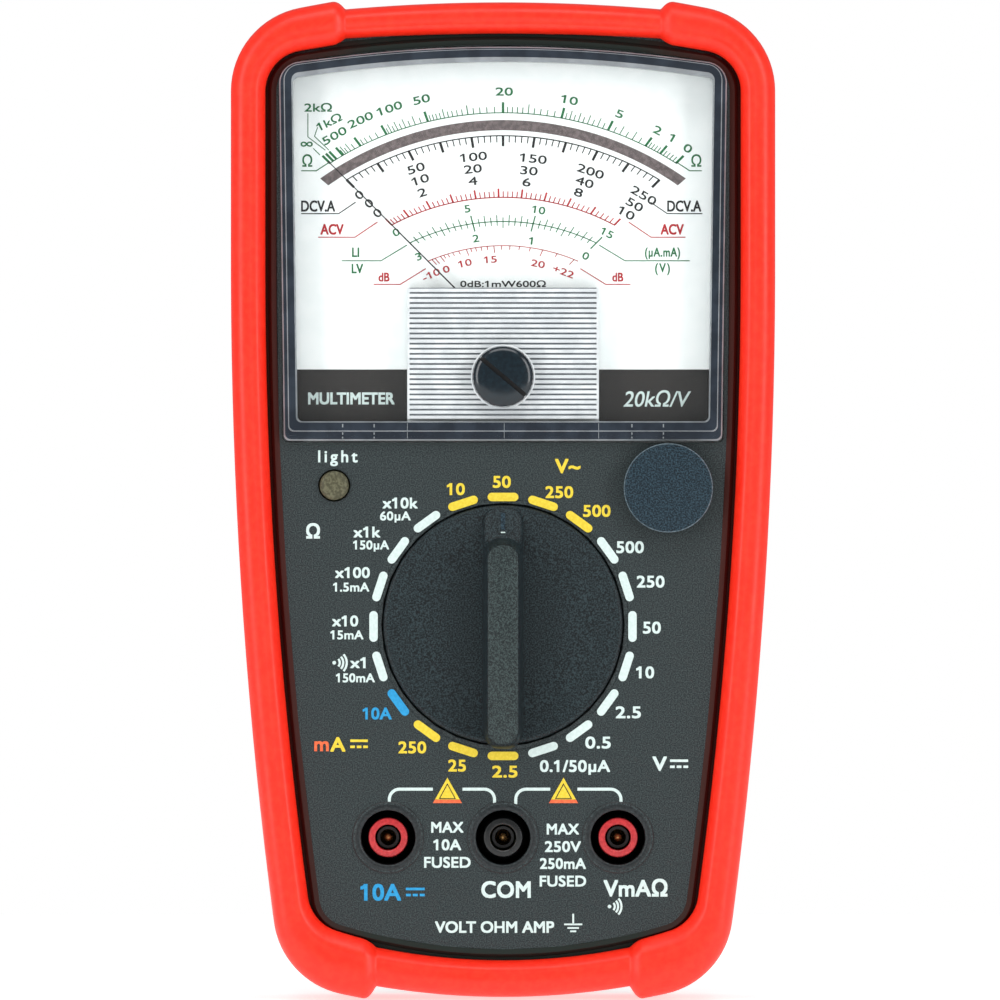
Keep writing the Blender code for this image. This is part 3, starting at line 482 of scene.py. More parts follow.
def build_lens():
    low = LENS_LOW.z
    front, back = LENS_LOW.y, LENS_HIGH.y
    room = back - 0.02
    # rings in the light grey finish are painted highlights on the rim's edges; the innermost one also shows the dial
    # tray's white wall grey, as painted shade
    rim_ring("lens_rim_outer_edge", "lens_rim_highlight", (
        (0.0, low, FACE - 0.05, 0), (0.0, low, front + 0.35, 0), (0.2, low + 0.25, front + 0.1, 0.03),
        (0.2, low + 0.25, FACE, 0.03)))
    rim_ring("lens_rim_outer_band", "lens_body", (
        (0.21, low + 0.26, FACE, 0.03), (0.21, low + 0.26, front + 0.12, 0.03), (0.7, low + 0.75, front + 0.12, 0.37),
        (0.7, low + 0.75, FACE, 0.37)))
    rim_ring("lens_rim_middle_band", "lens_body", (
        (0.705, low + 0.755, FACE, 0.37), (0.705, low + 0.755, front + 0.2, 0.37),
        (0.705, low + 1.49, front + 0.2, 0.37), (0.705, low + 1.49, FACE, 0.37)))
    rim_ring("lens_rim_middle_edge", "lens_rim_highlight", (
        (0.71, low + 1.5, FACE, 0.37), (0.71, low + 1.5, front + 0.12, 0.37), (0.78, low + 1.6, front, 0.4),
        (0.88, low + 1.68, front, 0.42), (0.88, low + 1.68, FACE, 0.42)))
    rim_ring("lens_rim_inner_band", "lens_body", (
        (0.89, low + 1.69, FACE, 0.42), (0.89, low + 1.69, front + 0.05, 0.42), (1.98, low + 3.0, front + 0.15, 0.3),
        (1.98, low + 3.0, room, 0.3), (0.89, low + 1.69, room, 0.42)))
    rim_ring("lens_rim_inner_edge", "lens_rim_highlight", (
        (1.99, low + 3.01, room, 0.3), (1.99, low + 3.01, front + 0.15, 0.3), (2.22, low + 3.2, front + 0.6, -0.22),
        (2.22, low + 3.2, room, -0.22)))
    bm = bmesh.new()
    pane = lens_outline(2.1, low + 3.1, -0.1)
    stack(bm, ((pane, front + 0.75), (pane, front + 1.35)))
    new_piece("lens_pane", bm, "clear_plastic", replaced=("meter_lens",))
    # light ticks at the clips and thin lines at the cover's edges and middle, on the rim's bottom: painted highlights
    # and painted reflections
    bm = bmesh.new()
    for x in (-26.5, -21.3, 21.3, 26.5):
        for start, end in ((0.35, 0.65), (1.0, 1.4), (2.2, 2.75)):
            bar = [(x - 0.1, low + start), (x + 0.1, low + start), (x + 0.1, low + end), (x - 0.1, low + end)]
            stack(bm, ((bar, front - 0.02), (bar, front + 0.4)))
    for x in (COVER_LOW.x, 0.2, COVER_HIGH.x):
        bar = [(x - 0.04, low + 0.35), (x + 0.04, low + 0.35), (x + 0.04, low + 2.9), (x - 0.04, low + 2.9)]
        stack(bm, ((bar, front - 0.02), (bar, front + 0.4)))
    new_piece("lens_rim_glints", bm, "lens_rim_highlight", smooth=False)


# ---- movement cover and zero screw ----

RIB_PITCH = 0.84


def build_movement_cover():
    """Flat-topped ribs with grooves between them, on a thin plate whose darker grey is painted shade in the grooves,
    between two plain cheeks.
    """
    front, low, high = COVER_LOW.y, COVER_LOW.z, COVER_HIGH.z
    cheek, depth, half_rib = 0.34, 0.4, 0.27
    left, right = COVER_LOW.x + cheek, COVER_HIGH.x - cheek
    bm = bmesh.new()
    for i in range(int((high - low) / RIB_PITCH) + 1):
        z = min(low + half_rib + i * RIB_PITCH, high - half_rib)
        section = ((z - half_rib, front + depth), (z - half_rib, front + 0.07), (z - half_rib + 0.07, front),
                   (z + half_rib - 0.07, front), (z + half_rib, front + 0.07), (z + half_rib, front + depth))
        grid = skin(bm, [[(x, y, v) for v, y in section] for x in (left, right)])
        bm.faces.new(grid[0])
        bm.faces.new(grid[1])
    new_piece("movement_cover_ribs", bm, "silver_plastic", replaced=("movement_cover",), sharp=15)
    # the plate shows between the ribs; its darker grey is painted shade in the grooves
    bm = bmesh.new()
    base = [(left, low), (right, low), (right, high), (left, high)]
    stack(bm, ((base, front + depth), (base, node_box("front_bridge")[0].y - 0.05)))
    new_piece("movement_cover_base", bm, "rib_groove_shade")
    bm = bmesh.new()
    for edge, inner in ((COVER_LOW.x, left), (right, COVER_HIGH.x)):
        wall = [(edge, low), (inner, low), (inner, high), (edge, high)]
        stack(bm, ((wall, front - 0.02), (wall, COVER_HIGH.y)))
    new_piece("movement_cover_cheeks", bm, "silver_plastic")
    bm = bmesh.new()
    ring = [(5.02, front + 0.3), (5.02, front - 0.1), (5.12, front - 0.16), (5.3, front - 0.04), (5.34, front + 0.3)]
    turned(bm, ring, (0.0, ZERO.z), 96, closed=True)
    new_piece("movement_cover_bezel", bm, "silver_plastic")


def build_needle():
    """A fine straight pointer with a hub and a short tail, lying at the left end of its swing."""
    low, high = node_box("needle")
    front, back = low.y, high.y
    length, arm, tip, hub, tail = 41.0, 0.13, 0.09, 2.0, 4.2
    sweep = math.degrees(math.asin(arm / hub))
    shape = [(tip, length)] + arc_points((0, 0), hub, 90 - sweep, -72, 14) + [(0.55, -tail)]
    shape += [(-u, v) for u, v in reversed(shape)]
    turn = math.radians(SWING)
    outline = [(u * math.cos(turn) - v * math.sin(turn), PIVOT + u * math.sin(turn) + v * math.cos(turn))
               for u, v in shape]
    bm = bmesh.new()
    stack(bm, ((outline, front), (outline, back)))
    new_piece("needle_pointer", bm, "black_metal", "pointer", ("needle",), 30)


def build_zero_screw():
    """A low dome with a driver slot right across it."""
    at, radius = (0.0, ZERO.z), 4.95
    front = node_box("zero_screw")[0].y
    half_slot, floor = 0.36, front + 0.85
    turn = math.radians(-40)
    bm = bmesh.new()
    for side in (-1, 1):
        edge = math.asin(half_slot / radius)
        rim = [edge + (math.pi - 2 * edge) * i / 40 for i in range(41)]
        layers = []
        for share, y in ((0.30, front), (0.62, front + 0.08), (0.82, front + 0.24), (0.93, front + 0.45),
                         (0.99, front + 0.75), (1.0, front + 1.0), (1.0, front + 1.3)):
            outline = []
            for t in rim:
                u, v = radius * share * math.cos(t), max(radius * share * math.sin(t), half_slot)
                v *= side
                outline.append((at[0] + u * math.cos(turn) - v * math.sin(turn),
                                at[1] + u * math.sin(turn) + v * math.cos(turn)))
            layers.append((outline, y))
        stack(bm, layers)
    new_piece("zero_screw_head", bm, "zero_black", "zero_screw", ("zero_screw",), 28)
    bm = bmesh.new()
    turned(bm, [(0, floor), (radius - 0.12, floor), (radius - 0.12, front + 1.4), (0, front + 1.4)], at)
    turned(bm, [(0, front + 1.4), (2.5, front + 1.4), (2.5, front + 3.6), (0, front + 3.6)], at, 48)
    pin = (0.0, ZERO.z - 1.2)
    turned(bm, [(0, front + 3.6), (0.5, front + 3.6), (0.5, front + 6.2), (0, front + 6.2)], pin, 24)
    new_piece("zero_screw_stem", bm, "black_metal", "zero_screw")


# ---- range knob ----


def build_range_knob():
    face = KNOB_LOW.y + 5.7  # front of the disc's rim
    back = KNOB_HIGH.y - 5.1
    r = KNOB_RADIUS
    at = (0.0, KNOB)
    bm = bmesh.new()
    dish = [(0, face + 0.55), (8, face + 0.55), (14, face + 0.45), (17.5, face + 0.22), (18.9, face + 0.03)]
    rim = [(19.2, face), (19.45, face + 0.06), (19.65, face + 0.22), (r, face + 0.5), (r, back), (0, back)]
    turned(bm, dish + rim, at, 160)
    new_piece("range_knob_disc", bm, "knob_plastic", "range_selector", ("range_knob",), 40)
    bm = bmesh.new()
    top = KNOB_LOW.y
    grip_low = KNOB - r
    layers = ((3.35, 0.5, 81.2, face + 0.6, 2.6), (3.3, 0.35, 81.1, face - 0.35, 2.6),
              (3.25, -0.5, 80.6, face - 0.62, 2.6), (3.15, -0.75, 77.2, face - 1.55, 2.5),
              (3.05, -0.72, 76.2, face - 2.1, 2.45), (2.78, -0.3, 75.35, top + 0.75, 2.35),
              (2.64, -0.1, 75.15, top + 0.3, 2.3), (2.5, 0.08, 75.02, top + 0.08, 2.2))
    outlines = [(rounded_bar(half, grip_low + lift, high, radius), y) for half, lift, high, y, radius in layers]
    stack(bm, outlines)
    new_piece("range_knob_grip", bm, "knob_plastic", "range_selector", (), 35)
    bm = bmesh.new()
    edge = rounded_bar(2.46, grip_low + 0.12, 75.0, 2.2)
    inner = rounded_bar(2.28, grip_low + 0.3, 74.82, 2.05)
    stack(bm, ((edge, top + 0.12), (edge, top + 0.04), (inner, top - 0.02)))
    new_piece("range_knob_face", bm, "grip_plastic", "range_selector", (), 35)
    bm = bmesh.new()
    slope = (face - 0.62 - (face - 1.55)) / (80.6 - 77.2)
    line = [(0.36, 77.6), (0.36, 80.4), (-0.36, 80.4), (-0.36, 77.6)]
    verts = [bm.verts.new((x, face - 1.6 + slope * (z - 77.2), z)) for x, z in line]
    under = [bm.verts.new((x, face - 1.2 + slope * (z - 77.2), z)) for x, z in line]
    bm.faces.new(verts)
    bm.faces.new(under)
    for i in range(4):
        bm.faces.new((verts[i], verts[(i + 1) % 4], under[(i + 1) % 4], under[i]))
    new_piece("range_knob_pointer", bm, "blue_grey_plastic", "range_selector", (), smooth=False)
    bm = bmesh.new()
    tip = rounded_bar(0.38, 77.05, 77.25, 0.09, 4)
    stack(bm, ((tip, face - 1.5), (tip, face - 1.72)))
    new_piece("range_knob_pointer_tip", bm, "ink_white", "range_selector", (), smooth=False)


def build_ohm_knob():
    front, back = (corner.y for corner in node_box("ohm_adjust_knob"))
    at, r, flutes = (OHM_KNOB.x, OHM_KNOB.z), 7.4, 48
    steps = flutes * 6

    def fluted(radius, depth):
        points = []
        for i in range(steps):
            turn = TAU * i / steps
            here = radius - depth * (0.5 - 0.5 * math.cos(turn * flutes))
            points.append((at[0] + here * math.cos(turn), at[1] + here * math.sin(turn)))
        return points

    bm = bmesh.new()
    stack(bm, ((fluted(r - 0.42, 0.0), front + 0.02), (fluted(r - 0.22, 0.0), front + 0.04),
               (fluted(r - 0.05, 0.05), front + 0.2), (fluted(r, 0.16), front + 0.4),
               (fluted(r, 0.2), front + 2.45), (fluted(r - 0.2, 0.0), front + 2.6)))
    neck = front + 2.7
    turned(bm, [(0, neck), (5.0, neck), (5.0, -12.3), (2, -12.3), (2, back), (0, back)], at, 48)
    new_piece("ohm_knob_body", bm, "blue_grey_plastic", "ohm_adjuster",
              ("ohm_adjust_knob",), 40)
    # a thin ring in lighter blue-grey at the knob's front edge: painted highlight
    bm = bmesh.new()
    ring = [(r - 0.2, front + 0.05), (r - 0.13, front - 0.01), (r - 0.03, front + 0.1), (r - 0.13, front + 0.16)]
    turned(bm, ring, at, 160, closed=True)
    new_piece("ohm_knob_rim_highlight", bm, "ohm_rim_highlight", "ohm_adjuster")


def build_light_button():
    front, back = (corner.y for corner in node_box("light_button"))
    at, r = (LIGHT.x, LIGHT.z), 2.4
    bm = bmesh.new()
    cap = [(0, front), (1.2, front + 0.02), (1.8, front + 0.1), (2.15, front + 0.24), (r, front + 0.55)]
    turned(bm, cap + [(r, back - 1), (3.5, back - 1), (3.5, back), (0, back)], at, 64)
    new_piece("light_button_cap", bm, "button_plastic", "light_button", ("light_button",), 50)


# ---- jacks ----


def build_jack(name):
    middle = JACKS[name]
    at = (middle.x, middle.z)
    insulator = node_box(f"jack_insulator_{name}")
    front, back = insulator[0].y, insulator[1].y
    colour = "black_plastic" if name == "com" else "red_plastic"
    rim = FACE - 0.3
    bm = bmesh.new()
    # the collar's dark grey, darker than the case plastic, is painted shade round the jack's recess
    collar = [(4.5, -8.2), (4.5, rim + 0.25), (4.62, rim + 0.02), (4.8, rim - 0.1), (5.2, rim - 0.08),
              (5.55, rim + 0.02), (5.8, rim + 0.16), (6.0, rim + 0.33), (4.7, rim + 0.4), (4.7, -8.2)]
    turned(bm, collar, at, 96, closed=True)
    new_piece(f"jack_collar_shade_{name}", bm, "jack_collar_shade", sharp=60)
    # near-black rings down the well: painted shade in the jack's recess
    bm = bmesh.new()
    turned(bm, [(3.3, -8.25), (4.52, -8.25), (4.52, -7.95), (3.3, -7.95)], at, 64, closed=True)
    turned(bm, [(3.3, -14.6), (4.46, -8.3), (4.46, -8.25), (3.3, -8.25)], at, 64, closed=True)
    new_piece(f"jack_recess_shade_{name}", bm, "black_metal")
    bm = bmesh.new()
    lip = [(2.125, back), (2.125, front + 0.3), (2.2, front + 0.1), (2.35, front), (2.9, front), (3.12, front + 0.08),
           (3.25, front + 0.3), (3.25, back)]
    turned(bm, lip, at, 96, closed=True)
    new_piece(f"jack_sleeve_{name}", bm, colour, replaced=(f"jack_insulator_{name}",))
    # the contact's front ring, near black instead of brass: painted shade deep in the bore
    bm = bmesh.new()
    contact = node_box(f"jack_contact_{name}")
    cup = [(1.35, contact[0].y), (1.8, contact[0].y), (1.8, contact[1].y), (1.35, contact[1].y)]
    turned(bm, cup, at, 48, closed=True)
    new_piece(f"jack_tube_shade_{name}", bm, "black_metal", replaced=(f"jack_contact_{name}",))
    bm = bmesh.new()
    pip = [(0, -12.3), (0.4, -12.2), (0.66, -11.9), (0.76, -11.4), (0.76, -6.4), (1.34, -6.2), (1.34, -5.0), (0, -5.0)]
    turned(bm, pip, at, 32)
    new_piece(f"jack_pip_{name}", bm, "brass", sharp=50)


# ---- prints ----


def flag_ones(mesh):
    """The built-in font draws 1 as a bare bar, so each such bar gets a flag at its top left."""
    bm = bmesh.new()
    bm.from_mesh(mesh)
    bars = []
    for face in bm.faces:
        xs, ys = [[v.co[k] for v in face.verts] for k in (0, 1)]
        width = max(xs) - min(xs)
        if len({e for v in face.verts for e in v.link_edges}) <= 5 and 0.093 < width < 0.105 and max(ys) > 0.6:
            bars.append((round(min(xs), 4), max(ys)))
    for left, top in sorted(set(bars)):
        corners = ((left, top), (left, top - 0.13), (left - 0.15, top - 0.21), (left - 0.15, top - 0.12),
                   (left - 0.04, top - 0.06))
        bm.faces.new([bm.verts.new((x, y, 0)) for x, y in reversed(corners)])
    bm.to_mesh(mesh)
    bm.free()


class Print:
    """Flat printed shapes of one colour on a face, gathered into one thin piece."""

    THICK = 0.035

    def __init__(self, name, depth, finish, slot):
        self.name, self.depth, self.finish, self.slot = name, depth, finish, slot
        self.bm = bmesh.new()

    def area(self, points):
        """A convex outline of (x, z) points."""
        self.bm.faces.new([self.bm.verts.new((x, 0, z)) for x, z in points])

    def line(self, points, width):
        """A mitred stroke along the points."""
        places = [Vector(p) for p in points]
        left, right = [], []
        for i, here in enumerate(places):
            before = (here - places[i - 1]).normalized() if i else None
            after = (places[i + 1] - here).normalized() if i + 1 < len(places) else None
            along = ((before or after) + (after or before)).normalized()
            across = Vector((-along.y, along.x))
            spread = width / 2 / max(0.5, across.dot(Vector((-(after or before).y, (after or before).x))))
            left.append(self.bm.verts.new((here.x + across.x * spread, 0, here.y + across.y * spread)))
            right.append(self.bm.verts.new((here.x - across.x * spread, 0, here.y - across.y * spread)))
        for i in range(len(places) - 1):
            self.bm.faces.new((left[i], left[i + 1], right[i + 1], right[i]))

    def dot(self, x, z, radius):
        self.area(arc_points((x, z), radius, 0, 345, 23))

    def text(self, words, x, z, cap, turn=0.0, stretch=1.0, bold=0.0, spacing=1.0, lean=0.0):
        """Words centred on (x, z), cap millimetres tall, turned clockwise by turn degrees.

        Bold words are struck four times, a little apart, each a hair above the one before.
        """
        curve = bpy.data.curves.new("words", "FONT")
        curve.body = words
        curve.size = 1.0
        curve.space_character = spacing
        curve.shear = lean
        curve.resolution_u = 4
        holder = bpy.data.objects.new("words", curve)
        bpy.context.scene.collection.objects.link(holder)
        mesh = bpy.data.meshes.new_from_object(holder.evaluated_get(bpy.context.evaluated_depsgraph_get()))
        bpy.data.objects.remove(holder, do_unlink=True)
        bpy.data.curves.remove(curve)
        if "1" in words:
            flag_ones(mesh)
        points = [v.co for v in mesh.vertices]
        middle = [(min(p[k] for p in points) + max(p[k] for p in points)) / 2 for k in (0, 1)]
        size = cap / 0.69
        flat = Matrix.Rotation(math.radians(90), 4, "X") @ Matrix.Diagonal((size * stretch, size, 1, 1))
        mesh.transform(flat @ Matrix.Translation((-middle[0], -middle[1], 0)))
        strikes = ((-1, -1), (1, -1), (-1, 1), (1, 1)) if bold else ((0, 0),)
        for i, (across, up) in enumerate(strikes):
            shift = Matrix.Translation((across * bold / 2, -0.004 * i, up * bold / 2))
            place = Matrix.Translation((x, 0, z)) @ Matrix.Rotation(math.radians(turn), 4, "Y") @ shift
            struck = mesh.copy()
            struck.transform(place)
            self.bm.from_mesh(struck)
            bpy.data.meshes.remove(struck)
        bpy.data.meshes.remove(mesh)

    def sort_faces(self):
        """The extrusion makes its side faces in a different order each time, so the order is set here."""
        self.bm.verts.index_update()
        count = len(self.bm.verts)

        def place(face):
            first, second, third = sorted(v.index for v in face.verts)[:3]
            return (first * count + second) * count + third

        self.bm.faces.sort(key=place)

    def make(self):
        bmesh.ops.remove_doubles(self.bm, verts=self.bm.verts, dist=0.0005)
        for face in self.bm.faces:
            face.normal_update()
            if face.normal.y > 0:
                face.normal_flip()
        grown = bmesh.ops.extrude_face_region(self.bm, geom=self.bm.faces[:], use_keep_orig=True)
        raised = [item for item in grown["geom"] if isinstance(item, bmesh.types.BMVert)]
        bmesh.ops.translate(self.bm, verts=raised, vec=(0, -self.THICK, 0))
        bmesh.ops.translate(self.bm, verts=self.bm.verts, vec=(0, self.depth + 0.005, 0))
        self.sort_faces()
        new_piece(self.name, self.bm, self.finish, smooth=False)


# scales: radius of each printed arc about SCALE_CENTRE
OHM_ARC, MIRROR_OUT, MIRROR_IN, DC_ARC, AC_ARC, CURRENT_ARC, DB_ARC = 53.3, 52.1, 50.4, 49.5, 39.3, 35.3, 31.3
MID_SCALE = 20.0  # ohms at the middle of the scale
DIAL_STRETCH, DIAL_BOLD = 1.6, 0.05  # the scale numbers are wide letters


def on_scale(radius, degrees):
    """Where the needle's line at an angle crosses a printed arc."""
    turn, drop = math.radians(degrees), PIVOT - SCALE_CENTRE
    reach = math.sqrt(radius**2 - (drop * math.sin(turn)) ** 2) - drop * math.cos(turn)
    return reach * math.sin(turn), PIVOT + reach * math.cos(turn)


def tick(ink, radius, degrees, length, width):
    """A stroke along the needle's line; a positive length goes outwards."""
    start = Vector(on_scale(radius, degrees))
    away = Vector((math.sin(math.radians(degrees)), math.cos(math.radians(degrees))))
    ink.line([start - away * math.copysign(0.05, length), start + away * length], width)


def scale_arc(ink, radius, width, reach=SWING):
    ink.line([on_scale(radius, -reach + 2 * reach * i / 72) for i in range(73)], width)


def arc_turn(x, z):
    """The turn of a label that lies along the arc through it."""
    return math.degrees(math.atan2(x, z - SCALE_CENTRE))


def ohm_angle(ohms):
    return -SWING + 2 * SWING * MID_SCALE / (MID_SCALE + ohms)


def decibel_angle(level):
    """On the 10 V range, 0 dB is 0.775 V, which is 1 mW in 600 ohms."""
    return -SWING + 2 * SWING * 0.0775 * 10 ** (level / 20)


def ohm_scale(ink):
    scale_arc(ink, OHM_ARC, 0.16)
    for ohms in (0, 1, 2, 5, 10, 20, 50, 100, 200, 500, 1000, 2000):
        tick(ink, OHM_ARC, ohm_angle(ohms), 1.75, 0.4)
    tick(ink, OHM_ARC, -SWING, 1.75, 0.4)
    stretches = ((0, 1, 5, 5), (1, 2, 5, 5), (2, 5, 6, 2), (5, 10, 10, 2), (10, 20, 10, 5), (20, 30, 5, 5),
                 (30, 50, 10, 5), (50, 100, 10, 2), (100, 200, 5, 5), (200, 500, 6, 2))
    for low, high, parts, longer in stretches:
        for i in range(1, parts):
            tick(ink, OHM_ARC, ohm_angle(low + (high - low) * i / parts), 1.55 if i % longer == 0 else 1.0, 0.15)
    tick(ink, OHM_ARC, ohm_angle(30), 1.55, 0.17)
    labels = (("500", -27.9, 142.8), ("200", -23.6, 145.4), ("100", -18.8, 147.3), ("50", -13.5, 148.8),
              ("20", 0.2, 150.1), ("10", 11.0, 148.7), ("5", 19.3, 146.4), ("2", 25.6, 143.7),
              ("1", 27.9, 142.5), ("0", 30.6, 140.7))
    for words, x, z in labels:
        ink.text(words, x, z, 1.3, arc_turn(x, z), DIAL_STRETCH, DIAL_BOLD)
    ink.text("2kΩ", -30.6, 147.5, 1.3, 0, 1.45, DIAL_BOLD)
    ink.text("1kΩ", -28.8, 145.1, 1.3, -26, 1.4, DIAL_BOLD)
    for x in (-32.4, 32.0):
        ink.text("Ω", x, 138.7, 1.9, 0, 0.9, DIAL_BOLD)
    ink.text("∞", -32.5, 141.4, 1.4, 0, 1.15, DIAL_BOLD)


def even_share(value):
    return value


def rectifier_share(value):
    """The share of the swing at a share of the AC scale, which is crowded near zero."""
    return value - 0.04 * (1 - value) * (1 - math.exp(-12 * value))


def voltage_scale(ink, radius, share, length, sub_length, width):
    scale_arc(ink, radius, 0.19)
    for i in range(51):
        major = i % 5 == 0
        degrees = -SWING + 2 * SWING * share(i / 50)
        tick(ink, radius, degrees, length if major else sub_length, width if major else 0.18)


def current_scale(ink):
    scale_arc(ink, CURRENT_ARC, 0.16)
    for i in range(31):
        degrees = -SWING + 2 * SWING * i / 30
        main = i % 10 == 0
        tick(ink, CURRENT_ARC, degrees, 1.35 if main else 1.1 if i % 2 == 0 else 0.7, 0.22 if main else 0.15)
        tick(ink, CURRENT_ARC, degrees, -(1.35 if main else 1.1 if i % 5 == 0 else 0.7), 0.22 if main else 0.15)
    for words, x, z in (("0", -17.7, 126.8), ("5", -5.9, 130.7), ("10", 5.9, 130.5), ("15", 17.2, 126.7),
                        ("3", -14.0, 122.8), ("2", -4.5, 125.8), ("1", 4.6, 125.4), ("0", 13.7, 122.9)):
        ink.text(words, x, z, 1.2, arc_turn(x, z), 1.35, DIAL_BOLD)
    ink.text("LI", -24.4, 123.5, 1.5, 0, 0.85, 0.1)
    ink.text("LV", -24.1, 120.8, 1.5, 0, 0.82, 0.1)
    ink.text("(µA.mA)", 26.4, 123.3, 1.45, 0, 0.74, 0.08, 1.1)
    ink.text("(V)", 26.4, 120.7, 1.45, 0, 0.8, 0.08, 1.3)


def decibel_scale(ink):
    scale_arc(ink, DB_ARC, 0.14)
    for level in [-10, -5, 0, 2, 4, 6, 8] + list(range(10, 23)):
        tick(ink, DB_ARC, decibel_angle(level), -1.15 if level % 5 == 0 or level == 22 else -0.65, 0.14)
    for words, x, z in (("-10", -11.9, 119.8), ("0", -9.4, 120.7), ("10", -6.3, 121.7), ("15", -2.1, 122.3),
                        ("20", 5.8, 121.6), ("+22", 10.0, 120.3)):
        ink.text(words, x, z, 1.1, arc_turn(x, z), 1.5, 0.04)
    for x in (-19.7, 19.0):
        ink.text("dB", x, 119.4, 1.4, 0, 0.85, 0.09)


# leader lines from a scale's name to the scale: how far each reaches left and right, its height, where it
# bends, and its tip
LEADERS = {
    "ink_green": ((33.4, 32.9, 137.0, 30.9, 28.6, 138.5), (26.7, 30.9, 122.1, 20.2, 15.9, 124.7)),
    "ink_black": ((33.4, 33.0, 129.9, 27.2, 24.4, 131.8),),
    "ink_red": ((30.6, 30.2, 126.0, 24.5, 20.8, 128.5), (21.4, 21.1, 118.2, 17.0, 12.8, 120.8)),
}


def build_dial_prints():
    inks = {name: Print(f"dial_print_{name[4:]}", DIAL, name, "dial_white") for name in LEADERS}
    green, black, red = inks["ink_green"], inks["ink_black"], inks["ink_red"]
    for name, lines in LEADERS.items():
        for left, right, height, bend, tip_x, tip_z in lines:
            inks[name].line([(-left, height), (-bend, height), (-tip_x, tip_z)], 0.17)
            inks[name].line([(right, height), (bend, height), (tip_x, tip_z)], 0.17)
    green.line([(-32.3, 146.5), (-32.3, 142.6), (-29.4, 140.4)], 0.14)
    green.line([(-30.7, 144.2), (-31.2, 142.7), (-28.8, 140.4)], 0.14)
    green.line([(-31.4, 140.7), (-30.3, 139.6)], 0.14)
    ohm_scale(green)
    current_scale(green)
    voltage_scale(black, DC_ARC, even_share, -1.75, -1.1, 0.42)
    voltage_scale(red, AC_ARC, rectifier_share, 1.45, 1.0, 0.3)
    decibel_scale(red)
    rows = ((("50", -14.4, 137.4), ("10", -13.7, 135.5), ("2", -13.4, 133.4)),
            (("100", -4.9, 139.3), ("20", -5.0, 137.3), ("4", -5.0, 135.3)),
            (("150", 5.0, 139.0), ("30", 4.3, 137.0), ("6", 3.9, 135.1)),
            (("200", 14.5, 136.9), ("40", 13.5, 135.1), ("8", 12.5, 133.4)),
            (("250", 23.3, 132.9), ("50", 21.8, 131.4), ("10", 20.4, 130.0)))
    for row in rows:
        for words, x, z in row:
            black.text(words, x, z, 1.35, arc_turn(x, z), DIAL_STRETCH, DIAL_BOLD)
    for x, z in ((-23.8, 133.0), (-22.2, 131.6), (-20.8, 130.0)):
        black.text("0", x, z, 1.4, -45, 1.3, DIAL_BOLD)
    for x in (-30.6, 30.0):
        black.text("DCV.A", x, 131.15, 1.75, 0, 0.76, 0.1)
    for x in (-28.3, 28.0):
        red.text("ACV", x, 127.3, 1.65, 0, 0.79, 0.12)
    black.text("0dB:1mW600Ω", 0.0, 118.3, 1.0, 0, 1.55, 0.05)
    for ink in inks.values():
        ink.make()
    band = Print("dial_print_mirror", DIAL, "mirror_band", "dial_white")
    steps = 72
    reach = 49.2
    for i in range(steps):
        a, b = (-reach + 2 * reach * k / steps for k in (i, i + 1))
        band.area([on_scale(MIRROR_IN, a), on_scale(MIRROR_OUT, a), on_scale(MIRROR_OUT, b), on_scale(MIRROR_IN, b)])
    band.make()
    strip = Print("dial_strip", DIAL - 0.05, "strip_brown", "dial_white")
    strip_low, strip_high = LENS_LOW.z + 2.6, 104.1
    for inner, outer in ((-COVER_HIGH.x - 0.1, -35.4), (COVER_HIGH.x + 0.1, 35.4)):
        strip.area([(inner, strip_low), (outer, strip_low), (outer, strip_high), (inner, strip_high)])
    strip.make()
    words = Print("dial_strip_words", DIAL - 0.09, "ink_white", "dial_white")
    words.text("MULTIMETER", -25.1, 99.3, 1.85, 0, 0.92, 0.16)
    words.text("20kΩ/V", 25.5, 99.3, 2.5, 0, 0.95, 0.06, 1.0, 0.2)
    words.make()


RANGE_MARKS = (["ink_yellow"] * 3 + ["ink_white"] * 7 + ["ink_yellow"] * 3 + ["ink_blue"] + ["ink_white"] * 5
               + ["ink_yellow"])  # clockwise from the top, one for each position of the knob
MARK_RADIUS, MARK_LENGTH, MARK_WIDTH = 21.4, 5.1, 1.4

